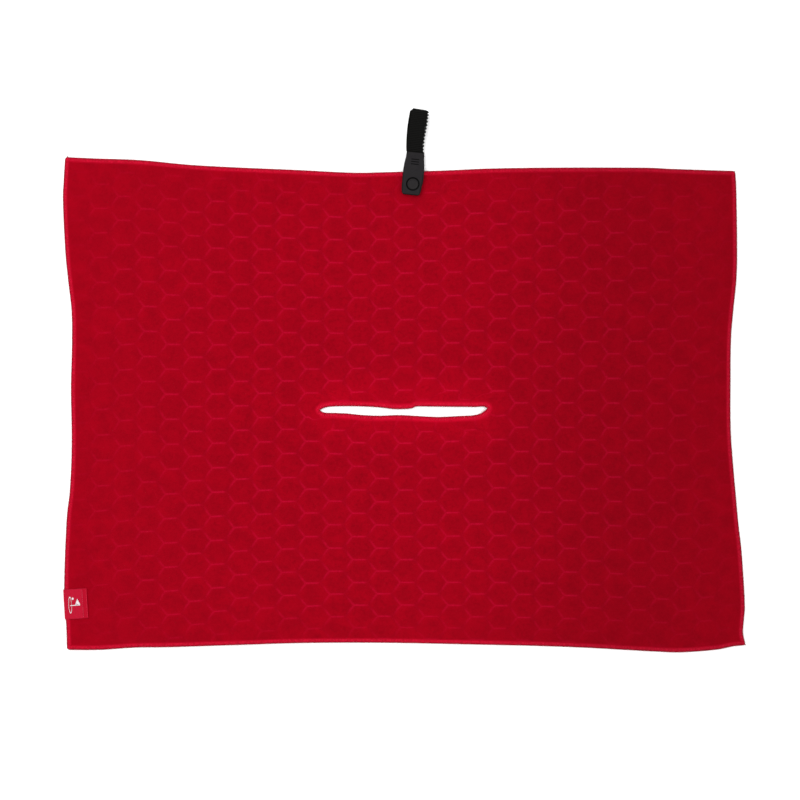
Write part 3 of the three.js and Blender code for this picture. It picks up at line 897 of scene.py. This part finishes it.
def tab_outline(steps=10):
    """The covers' outline: even on both sides, then moved over, and drawn in at its foot."""
    turn = np.array([TAB_SIDE[-1], (10.4, TAB_FOOT), (7.3, TAB_FOOT)])
    corner = bezier(*turn, np.linspace(0, 1, 12)[1:, None])
    right = np.concatenate([spline(TAB_SIDE, steps), corner])
    both = np.concatenate([right, right[::-1] * [-1, 1]])
    both[:, 0] -= 0.5 + np.where(both[:, 0] > 0, 0.9, 0.3) * smooth((6 - both[:, 1]) / 11)
    return both


def prism(name, outline, low, high, material):
    """A solid with straight sides from an outline of the strap's frame."""
    n = len(outline)
    base = np.column_stack([outline, np.full(n, low)])
    top = np.column_stack([outline, np.full(n, high)])
    walls = [(k, (k + 1) % n, (k + 1) % n + n, k + n) for k in range(n)]
    faces = [tuple(range(n))[::-1], tuple(range(n, 2 * n)), *walls]
    return face_out(make(name, on_strap(np.concatenate([base, top])), faces, material))


def box_outline(x0, x1, y0, y1):
    return np.array([(x1, y1), (x0, y1), (x0, y0), (x1, y0)], float)


def circle(radius, n=72):
    a = np.linspace(0, 2 * math.pi, n, endpoint=False)
    return np.column_stack([radius * np.cos(a), radius * np.sin(a)])


def settle(o):
    """Replaces an object's mesh by what its modifiers make of it."""
    graph = bpy.context.evaluated_depsgraph_get()
    done = bpy.data.meshes.new_from_object(o.evaluated_get(graph), depsgraph=graph)
    o.modifiers.clear()
    o.data = done
    return o


def bevel(o, width, segments, degrees):
    m = o.modifiers.new("bevel", "BEVEL")
    m.width, m.segments = width * MM, segments
    m.limit_method, m.angle_limit = "ANGLE", math.radians(degrees)
    m.use_clamp_overlap = True
    return settle(o)


def cut(o, cutters):
    for c in cutters:
        m = o.modifiers.new("cut", "BOOLEAN")
        m.operation, m.object, m.solver = "DIFFERENCE", c, "EXACT"
        settle(o)
        bpy.data.objects.remove(c)
    return o


def finish_hard(o, sharp=32):
    o.data.shade_smooth()
    o.data.set_sharp_from_angle(angle=math.radians(sharp))
    return o


def make_tab(material):
    """The front cover with its snap recess and three grip grooves, and the flat back cover."""

    def cutter(outline, low, high=20):
        return prism("cutter", outline, low, high, material)

    outline = tab_outline()
    everywhere = box_outline(-20, 20, -20, FAR)
    pocket = np.array([(-9.9, -9.3), (8.8, -9.3), (8.8, 1), (9.9, 8), (9.9, FAR), (-9.9, FAR)])
    front = bevel(prism("tab_front", outline, TAB_JOIN, TAB_HIGH, material), 0.9, 5, 50)
    cutters = [
        cutter(everywhere, 0, TAB_JOIN + 0.05), cutter(pocket, 0, POCKET_TOP),
        cutter(box_outline(-20, 20, 22, FAR), 0, POCKET_TOP), cutter(circle(7.8), 6.6),
    ]
    for y in (22.6, 25.3, 28.0):
        cutters.append(cutter(box_outline(-4.5, 4.5, y - 0.55, y + 0.55), TAB_HIGH - 0.5))
    bevel(cut(front, cutters), 0.22, 3, 40)
    back = bevel(prism("tab_back", outline, TAB_LOW, 6.0, material), 0.7, 4, 50)
    bevel(cut(back, [cutter(everywhere, TAB_JOIN - 0.1), cutter(circle(5.7), 0)]), 0.2, 2, 40)
    return finish_hard(front), finish_hard(back)


# ======== Snap ========


def eased(profile, radius=0.12, steps=4):
    """A profile with its corners rounded."""
    p = np.array(profile, float)
    made = [p[0]]
    for a, b, c in zip(p, p[1:], p[2:]):
        r = min(radius, np.linalg.norm(b - a) * 0.45, np.linalg.norm(c - b) * 0.45)
        start, end = b + unit(a - b) * r, b + unit(c - b) * r
        if b[0] < 1e-6:
            made.append(b)
            continue
        made.extend(bezier(start, b, end, np.linspace(0, 1, steps)[:, None]))
    return np.array([*made, p[-1]])


def turned(name, profile, material, segments=96):
    """A profile of radius and height turned about the snap's axis."""
    a = np.linspace(0, 2 * math.pi, segments, endpoint=False)
    points, rings, faces = [], [], []
    for r, z in eased(profile):
        turns = a if r > 1e-6 else a[:1]
        rings.append(len(points) + np.arange(segments) % len(turns))
        points.extend((r * math.cos(t), r * math.sin(t), z) for t in turns)
    for one, two in zip(rings, rings[1:]):
        quads = np.stack([one, np.roll(one, -1), np.roll(two, -1), two], -1).tolist()
        # At the axis a ring is one point, so its quads are triangles or nothing
        corners = (tuple(dict.fromkeys(quad)) for quad in quads)
        faces += [face for face in corners if len(face) > 2]
    return finish_hard(face_out(make(name, on_strap(np.array(points)), faces, material)), 35)


def make_snap(black, steel):
    cap = turned("snap_cap_disc", [
        (0, 4.65), (1.8, 4.65), (1.8, 6.72), (6.0, 6.72), (6.15, 6.85), (6.15, 7.3), (5.9, 7.55),
        (5.35, 7.55), (5.0, 7.3), (3.4, 7.26), (0, 7.36),
    ], black)
    post = turned("snap_post_flange", [
        (0, 0.1), (4.9, 0.1), (5.2, 0.25), (5.2, 0.5), (1.8, 0.5), (1.8, 3.85), (0, 3.85),
    ], black)
    stud = turned("snap_stud_ring", [
        (2.05, 2.45), (5.2, 2.45), (5.2, 2.7), (4.9, 2.85), (2.75, 2.85), (2.5, 3.1), (2.5, 3.4),
        (2.9, 3.75), (2.9, 4.05), (2.4, 4.45), (0, 4.45), (0, 4), (2.05, 4), (2.05, 2.45),
    ], steel)
    socket = turned("snap_socket_ring", [
        (3.2, 3.05), (3.6, 3), (5.1, 3), (5.4, 3.25), (5.4, 4.95), (2, 4.95), (2, 4.6), (3.2, 4.6),
        (3.2, 4.2), (3.8, 4.2), (3.8, 3.3), (3.2, 3.3), (3.2, 3.05),
    ], steel)
    a = np.linspace(0, 2 * math.pi * 0.94, 60)
    wire = np.column_stack([3.28 * np.cos(a), 3.28 * np.sin(a), np.full(60, 3.72)])
    pile = Pile()
    pile.add(*tube(on_strap(wire), (0, 0, 1), 0.26, 10), strand=0.0)
    spring = pile.make("snap_spring_wire", steel)
    return cap, post, stud, socket, spring


# ======== Materials ========


def srgb(r, g, b):
    """A colour typed from 0 to 255 as it should look, less what the bright studio adds to it."""
    def one(v):
        v /= 255
        return (v / 12.92 if v <= 0.04045 else ((v + 0.055) / 1.055) ** 2.4) / STUDIO
    return (one(r), one(g), one(b), 1.0)


class Value:
    """A number or a colour that a material's nodes make, and that sums can be written with."""

    def __init__(self, look, socket):
        self.look, self.socket = look, socket

    def math(self, operation, *others):
        return self.look.math(operation, self, *others)

    def __rsub__(self, other):
        return self.look.math("SUBTRACT", other, self)

    __add__ = functools.partialmethod(math, "ADD")
    __sub__ = functools.partialmethod(math, "SUBTRACT")
    __mul__ = functools.partialmethod(math, "MULTIPLY")
    __truediv__ = functools.partialmethod(math, "DIVIDE")
    __mod__ = functools.partialmethod(math, "FLOORED_MODULO")
    __abs__ = functools.partialmethod(math, "ABSOLUTE")


class Look:
    """A material and the nodes that drive it."""

    def __init__(self, name, roughness, **constants):
        self.material = bpy.data.materials.new(name)
        self.material.use_nodes = True
        self.tree = self.material.node_tree
        self.shader = self.tree.nodes["Principled BSDF"]
        self.shader.inputs["Roughness"].default_value = roughness
        for key, value in constants.items():
            self.shader.inputs[key.replace("_", " ")].default_value = value

    def put(self, socket, value):
        if isinstance(value, Value):
            self.tree.links.new(value.socket, socket)
        else:
            socket.default_value = value

    def node(self, kind, inputs, output=0, **settings):
        """A new node with inputs given by place or name, and one of its outputs."""
        made = self.tree.nodes.new(kind)
        for key, value in settings.items():
            setattr(made, key, value)
        for key, value in inputs.items() if isinstance(inputs, dict) else enumerate(inputs):
            self.put(made.inputs[key], value)
        return Value(self, made.outputs[output])

    def math(self, operation, *inputs):
        return self.node("ShaderNodeMath", inputs, operation=operation)

    def most(self, a, b):
        return self.math("MAXIMUM", a, b)

    def ramp(self, value, low, high, to_low=0.0, to_high=1.0):
        ends = (value, low, high, to_low, to_high)
        return self.node("ShaderNodeMapRange", ends, interpolation_type="SMOOTHSTEP")

    def mix(self, share, a, b):
        return self.node("ShaderNodeMix", {"Factor": share, 6: a, 7: b}, 2, data_type="RGBA")

    def coated(self, base, *coats):
        """A colour with others laid over it, each with its share."""
        for share, colour in coats:
            base = self.mix(share, base, colour)
        return base

    def shade(self, colour, amount):
        return self.node("ShaderNodeVectorMath", {0: colour, "Scale": amount}, operation="SCALE")

    def noise(self, where, scale, detail, rough=0.55):
        inputs = {"Vector": where, "Scale": scale, "Detail": detail, "Roughness": rough}
        return self.node("ShaderNodeTexNoise", inputs, "Fac")

    def stored(self, name, output="Fac"):
        """What the mesh keeps under a name."""
        return self.node("ShaderNodeAttribute", (), output, attribute_name=name)

    def here(self):
        return self.node("ShaderNodeTexCoord", (), "Object")

    def parts(self, vector):
        """The three numbers of a vector."""
        first = self.node("ShaderNodeSeparateXYZ", (vector,))
        return [Value(self, socket) for socket in first.socket.node.outputs]

    def from_snap(self):
        """Millimetres across and along the strap from the middle of the snap."""
        x, y, _ = self.parts(self.here())
        dx, dy = x - snap_row.x * MM, y - snap_row.y * MM
        return [dx * (axis[0] / MM) + dy * (axis[1] / MM) for axis in (STRAP_X, STRAP_Y)]

    def painted_falloff(self, base, slit_painted_light=1.19):
        """Paints shade on a colour towards the right, and paints light on it round the slit."""
        x, y, _ = self.parts(self.here())
        x = x * (1 / MM) + -TOWEL_AT[0]
        y = y * (1 / MM) + (-TOWEL_AT[1] - SLIT_T)
        past = self.most(abs(x) + -75.0, 0.0)
        away = self.math("SQRT", past * past + y * y)
        base = self.mix(self.ramp(x, 20.0, 260.0), base, self.shade(base, 0.77))
        return self.mix(self.ramp(away, 6.0, 60.0, 1.0, 0.0), base, self.shade(base, slit_painted_light))

    def bump(self, height, strength, distance):
        inputs = {"Strength": strength, "Distance": distance * MM, "Height": height}
        return self.node("ShaderNodeBump", inputs, "Normal")

    def finish(self, colour, relief, rough=None):
        found = {"Base Color": colour, "Normal": relief, "Roughness": rough}
        for key, value in found.items():
            if value:
                self.put(self.shader.inputs[key], value)
        return self.material


def hexagon_values(look, s, t):
    """Distances to the nearest flat side, slanted side, and pressed line as in hex_distance."""
    rise, run = HEX["along"] / 2, HEX["across"] - HEX["flat"]
    long = math.hypot(rise, run)
    column = look.math("FLOOR", s / HEX["across"])
    found = []
    for k in (0.0, 1.0):
        here = column + k
        dx = abs(s - here * HEX["across"])
        dy = t - HEX["row"] - here % 2.0 * rise
        dy = abs(dy - look.math("ROUND", dy / HEX["along"]) * HEX["along"])
        flat = rise - dy
        slant = (HEX["flat"] / 2 + run - dx) * (rise / long) - dy * (run / long)
        found.append((flat, slant, look.math("SMOOTH_MIN", flat, slant, ROUND_PAD)))
    ours = look.math("GREATER_THAN", found[0][2], found[1][2])
    theirs = 1.0 - ours
    return [a * ours + b * theirs for a, b in zip(*found)]


def cloth_look():
    look = Look("microfibre", 0.95, Sheen_Weight=0.12, Sheen_Roughness=0.5, Specular_IOR_Level=0.03)
    look.shader.inputs["Sheen Tint"].default_value = (1.0, 0.05, 0.12, 1.0)
    s, t, _ = look.parts(look.stored("flat", "Vector"))
    pressed, inset = look.stored("pressed"), look.stored("inset")
    flat, slant, near = hexagon_values(look, s, t)
    here = look.here()
    broad = look.noise(here, 9, 2)
    patches = look.noise(here, 60, 4, 0.6)
    blots = look.noise(here, 230, 3, 0.6)
    tufts = look.noise(here, 420, 5, 0.65)
    fibres = look.noise(here, 1500, 4, 0.7)
    speck = look.noise(here, 3600, 2, 0.6)

    wander = (patches - 0.5) * 1.2
    flat_line = look.ramp(flat + wander, 0.1, 1.5, 1.3, 0.0)
    slant_line = look.ramp(slant + wander, 0.2, 1.9, 0.85, 0.0)
    halo = look.ramp(near, -0.7, 3.6, 0.3, 0.0)
    line = look.most(look.most(flat_line, slant_line), halo)
    # Painted light: each line is painted light at the left end of a flat side and fades to its
    # right
    past, end = s % HEX["across"], HEX["flat"] / 2
    painted_lit_end = look.ramp(past, 3.0, end + 1.2, 1.0, 0.25)
    line = line * look.most(painted_lit_end, look.ramp(past, end, HEX["across"] - end - 3))
    line = line * look.ramp(pressed, 0.0, 0.9, 0.15, 1.0) * look.ramp(tufts, 0.3, 0.62, 0.5, 1.0)
    line = line * look.ramp(inset, 8.0, 48.0, 0.4, 1.0)
    # Painted shade: the pad beside the right end of each flat side is painted darker
    unlit = look.ramp(past, end - 2.5, end + 1) * look.ramp(past, 10.0, 14.5, 1.0, 0.0)
    mottle = look.ramp(blots, 0.45, 0.7) * look.ramp(near, 2.5, 6.5) * pressed

    base = look.mix(look.ramp(patches, 0.3, 0.7), srgb(142, 0, 18), srgb(158, 0, 21))
    base = look.coated(
        base,
        (look.ramp(broad, 0.35, 0.65, 0.0, 0.35), srgb(146, 0, 19)),
        (look.ramp(tufts, 0.25, 0.75, 0.0, 0.4), srgb(166, 2, 25)),
        (unlit * halo * pressed, srgb(126, 0, 15)),
        (mottle * 0.55, srgb(132, 0, 15)),
        (line * 0.6, srgb(190, 9, 48)),
        (look.ramp(inset, 3.2, 6.2, 1.0, 0.0), srgb(202, 7, 43)),
        (look.ramp(speck, 0.5, 0.75, 0.0, 0.3), srgb(96, 0, 12)),
    )
    height = tufts * 0.5 + fibres * 0.35 + speck * 0.15
    # Painted shade towards the right and painted light round the slit
    return look.finish(look.painted_falloff(base), look.bump(height, 0.8, 0.7))


def thread_look(name, dark, light, roughness=0.75):
    look = Look(name, roughness, Specular_IOR_Level=0.1)
    here = look.here()
    fibres = look.noise(here, 2600, 3, 0.6)
    patches = look.noise(here, 300, 3)
    twist = look.math("SINE", look.stored("strand") * 7.0)
    base = look.mix(look.ramp(patches, 0.3, 0.7), dark, light)
    base = look.mix(look.ramp(twist, -1.0, 1.0, 0.0, 0.18), base, dark)
    # Painted shade on the loops at a cut edge; tails and wisps are also darkened here
    base = look.mix(look.stored("darkening") * 0.95, base, look.shade(base, 0.22))
    # Painted shade towards the right and painted light round the slit, as on the cloth
    return look.finish(look.painted_falloff(base, 1.08), look.bump(fibres, 0.5, 0.15))


def label_look():
    look = Look("woven_label", 0.7, Specular_IOR_Level=0.05)
    u, v, _ = look.parts(look.stored("flat", "Vector"))
    weft, warp = (look.math("SINE", k * (2 * math.pi / n)) for k, n in ((u, 0.42), (v, 0.36)))
    weave = weft * warp
    fleck = look.noise(look.here(), 900, 3)
    inner = LABEL["depth"] - LABEL["seam"]
    base = look.coated(
        look.mix(look.ramp(weave, -1, 1), srgb(168, 11, 38), srgb(204, 20, 54)),
        (look.ramp(fleck, 0.35, 0.7, 0.0, 0.35), srgb(190, 34, 58)),
        (look.ramp(u, inner - 0.3, inner + 0.2, 0.8, 0.0), srgb(180, 4, 36)),
        (look.ramp(abs(v), 15.8, 17.0, 0.0, 0.3), srgb(120, 12, 30)),
    )
    return look.finish(base, look.bump(weave, 0.5, 0.12))


def webbing_look():
    look = Look("webbing", 0.85, Specular_IOR_Level=0.03)
    place = look.stored("flat", "Vector")
    u, v, _ = look.parts(place)
    rib = look.math("COSINE", u * (2 * math.pi / RIB))
    yarn = look.math("SINE", v * (2 * math.pi / 0.42) + u * 1.9)
    fleck = look.noise(place, 1.3, 4, 0.65)
    # Painted highlight and shade: the rib crests are lighter and the furrows between them darker
    base = look.mix(look.ramp(rib, -1, 1), srgb(3, 3, 3), srgb(22, 22, 21))
    base = look.mix(look.ramp(fleck, 0.35, 0.75, 0.0, 0.5), base, srgb(30, 29, 27))
    return look.finish(base, look.bump(yarn * 0.5 + fleck * 0.6, 0.5, 0.12))


def rubber_look(name, colour, edge):
    """Moulded rubber, with painted shade on its sides and along the edge of its front face, and a
    painted shadow in what is sunk below its front face.
    """
    look = Look(name, 0.6, Specular_IOR_Level=0.05)
    here = look.here()
    grain = look.noise(here, 3200, 3, 0.6)
    smudge = look.noise(here, 140, 3, 0.6)
    base = look.mix(look.ramp(smudge, 0.3, 0.75, 0.0, 0.5), colour, edge)
    depth = look.parts(here)[2]
    x, y = look.from_snap()
    inside = look.ramp(abs(x), 8.0, 8.6, 1.0, 0.0)
    sunk = look.ramp(depth, 7.2 * MM, 7.45 * MM, 1.0, 0.0)
    raised = look.ramp(depth, 6.4 * MM, 6.5 * MM)
    # Painted shadow: the ring sunk round the cap is painted near black
    base = look.mix(sunk * inside * raised, base, srgb(4, 4, 4))
    facing = look.parts(look.node("ShaderNodeNewGeometry", (), "True Normal"))[2]
    # Painted shade: faces that turn away from the front are darkened
    base = look.mix(look.ramp(abs(facing), 0.5, 0.98), look.shade(base, 0.25), base)
    # Painted shade: a dark line down both sides of the wide end and along its foot, where the front
    # face falls away
    right = look.ramp(x - look.ramp(y, -9.0, 8.0, 9.5, 11.4), -2.1, -0.8)
    left = look.ramp(look.ramp(y, -9.0, 6.0, -11.9, -12.4) - x, -1.7, -0.6)
    sides = look.most(right, left) * look.ramp(y, 8.0, 20.0, 1.0, 0.0)
    rim = look.most(sides, look.ramp(y, -11.9, -10.9, 1.0, 0.0))
    base = look.mix(rim * 0.75, base, look.shade(base, 0.35))
    return look.finish(base, look.bump(grain, 0.35, 0.08), look.ramp(smudge, 0.3, 0.7, 0.5, 0.64))


def metal_look(name, dark, light, roughness, metallic):
    """Metal turned about the snap's axis, with wear in places."""
    look = Look(name, roughness, Metallic=metallic, Specular_IOR_Level=0.25)
    wear = look.noise(look.here(), 900, 4, 0.65)
    x, y = look.from_snap()
    round_it = look.math("SQRT", x * x + y * y)
    turning = look.noise(look.node("ShaderNodeCombineXYZ", (round_it,)), 8, 2)
    base = look.mix(look.ramp(turning, 0.3, 0.7), dark, light)
    base = look.mix(look.ramp(wear, 0.55, 0.8, 0.0, 0.5), base, light)
    rough = look.ramp(wear, 0.3, 0.8, roughness - 0.06, roughness + 0.12)
    return look.finish(base, look.bump(turning, 0.2, 0.02), rough)


# ======== Camera, light and floor ========


def make_camera():
    """Straight down, with the frame that the towel fills from side to side."""
    lens, sensor = 100.0, 36.0
    data = bpy.data.cameras.new("camera")
    data.lens, data.sensor_width = lens, sensor
    camera = bpy.data.objects.new("camera", data)
    bpy.context.scene.collection.objects.link(camera)
    over = (VIEW_WIDTH * lens / sensor + CLOTH_T) * MM
    camera.location = (VIEW_AT[0] * MM, VIEW_AT[1] * MM, over)
    bpy.context.scene.camera = camera


def make_light(name, place, size, power):
    data = bpy.data.lights.new(name, "AREA")
    data.shape, data.size, data.energy = "DISK", size, power
    lamp = bpy.data.objects.new(name, data)
    lamp.location = place
    lamp.rotation_euler = Vector(place).to_track_quat("Z", "Y").to_euler()
    bpy.context.scene.collection.objects.link(lamp)


def make_studio():
    world = bpy.data.worlds.new("studio")
    world.use_nodes = True
    background = world.node_tree.nodes["Background"]
    background.inputs["Color"].default_value = (1.0, 1.0, 1.0, 1.0)
    background.inputs["Strength"].default_value = 0.95 * STUDIO
    bpy.context.scene.world = world
    make_light("key", (-1.1, 1.3, 2.4), 1.6, 24 * STUDIO)
    make_light("fill", (1.6, -0.8, 2.2), 1.8, 4 * STUDIO)
    look = Look("floor", 0.9, Specular_IOR_Level=0.1, Emission_Strength=0.12)
    look.shader.inputs["Emission Color"].default_value = (1.0, 1.0, 1.0, 1.0)
    tint = look.noise(look.here(), 1.5, 2)
    pale = look.mix(look.ramp(tint, 0.3, 0.7), (0.92, 0.92, 0.92, 1), (0.95, 0.95, 0.95, 1))
    size, depth = 3000.0, -0.3
    corners = [(x * size, y * size, depth) for x, y in ((-1, -1), (1, -1), (1, 1), (-1, 1))]
    make("floor", corners, [(0, 1, 2, 3)], look.finish(pale, None))
    bpy.context.scene.view_settings.view_transform = "Standard"


# ======== The towel ========


def credit(piece, slot, body, node):
    """Attaches a piece to the body it moves with and hides the CAD piece it stands for; its slot is
    not used.
    """
    if body:
        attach(piece, body)
    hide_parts(node)


def build_cloth():
    """The cloth with the threads round its four sides and its slit."""
    cloth = make_cloth(cloth_look())
    credit(cloth, "cloth", "towel", "towel_cloth")

    thread = thread_look("overlock_thread", srgb(197, 4, 40), srgb(223, 11, 54))
    lengths = [CUT["right"] - CUT["left"], CUT["high"] - CUT["low"]] * 2
    tails = [(0.9, 2.4), (-0.5, 3.0), (1.8, 6.0), (1.1, 3.2)]  # heading and length
    hems = []
    for i, (side, length, tail) in enumerate(zip(SIDE_NAMES, lengths, tails)):
        place = functools.partial(edge_place, i)
        pile = overlock(place, 1.2, length - 1.2, 40 + i, 0.22 * (i % 2))
        corner = np.array(place(np.array([length - 1.0]), np.array([1.2]))).ravel()
        thread_tail(pile, corner, *tail, 60 + i)
        hems.append(pile.make("edge_thread_" + side, thread))
        credit(hems[-1], "thread", "towel", "edge_overlock_" + side)
    pile = overlock(slit_place, 0.0, SLIT_ROUND, 50)
    slit_wisps(pile)
    hems.append(pile.make("slit_thread", thread))
    credit(hems[-1], "thread", "towel", "slit_overlock")

    x, y = SLIT_RING.T
    slit_area = 0.5 * abs(np.sum(x * np.roll(y, -1) - np.roll(x, -1) * y))
    flat_size = (lengths[0] * MM, lengths[1] * MM)
    flat_size[0] * flat_size[1] - slit_area * MM * MM
    return cloth


def build_label(cloth):
    label = make_label(label_look())
    seam = make_label_seam(thread_look("seam_thread", srgb(200, 34, 62), srgb(226, 78, 104)))
    white = thread_look("motif_thread", srgb(222, 205, 210), srgb(255, 250, 250), 0.6)
    motif = make_label_motif(white)
    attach(motif, "towel")
    credit(label, "label", "towel", "side_label")
    credit(seam, "thread", "towel", "label_seam")


def strap_point(y, z):
    """A point of the strap's middle line, in the row frame's metres."""
    p = on_strap(np.array([[0.0, y, z]]))[0] + TOWEL_AT
    return tuple(p * MM)


def build_webbing():
    """The webbing in three pieces, and its bar tacks."""
    webbing = webbing_look()
    route = web_route()
    y, _, along = route
    is_back = along < FOLD_Y - TAIL_Y
    lower = np.argmax(is_back & (y > 44))
    upper = np.argmax(~is_back & (y < 46))
    tail = web_piece("webbing_tail", slice(0, lower + 1), webbing, route)
    loop = web_piece("webbing_loop", slice(lower, upper + 1), webbing, route)
    end = web_piece("webbing_end", slice(upper, len(y)), webbing, route)
    tilt, fold_z = 0.04, 3.0
    strap_point(FOLD_Y, fold_z)
    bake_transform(loop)
    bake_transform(end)
    credit(tail, "webbing", "towel", "webbing_back_run")
    credit(loop, "webbing", None, "webbing_front_run")
    credit(end, "webbing", None, "webbing_tab_end")

    black_thread = thread_look("tack_thread", srgb(12, 12, 13), srgb(34, 34, 36))
    for name, at_y in TACKS_Y.items():
        tack = bar_tack("tack_thread_" + name, at_y, black_thread)
        credit(tack, "webbing", "towel", "bar_tack_" + name)


def build_tab():
    """The tab's covers and the snap."""
    front, back = make_tab(rubber_look("tab_rubber", srgb(33, 31, 33), srgb(42, 40, 41)))
    black = metal_look("black_metal", srgb(18, 16, 17), srgb(34, 30, 31), 0.5, 0.45)
    steel = metal_look("steel", srgb(132, 132, 134), srgb(176, 176, 178), 0.32, 1.0)
    cap, post, stud, socket, spring = make_snap(black, steel)
    for piece, slot, body, node in (
        (front, "tab", "snap_tab", "tab_front_cover"),
        (back, "tab", "snap_tab", "tab_back_cover"),
        (cap, "snap_black", "snap_tab", "snap_cap"),
        (socket, "snap_steel", "snap_tab", "snap_socket"),
        (spring, "snap_steel", "snap_tab", "snap_spring"),
        (post, "snap_black", "towel", "snap_post"),
        (stud, "snap_steel", "towel", "snap_stud"),
    ):
        credit(piece, slot, body, node)


make_camera()
make_studio()
build_label(build_cloth())
build_webbing()
build_tab()
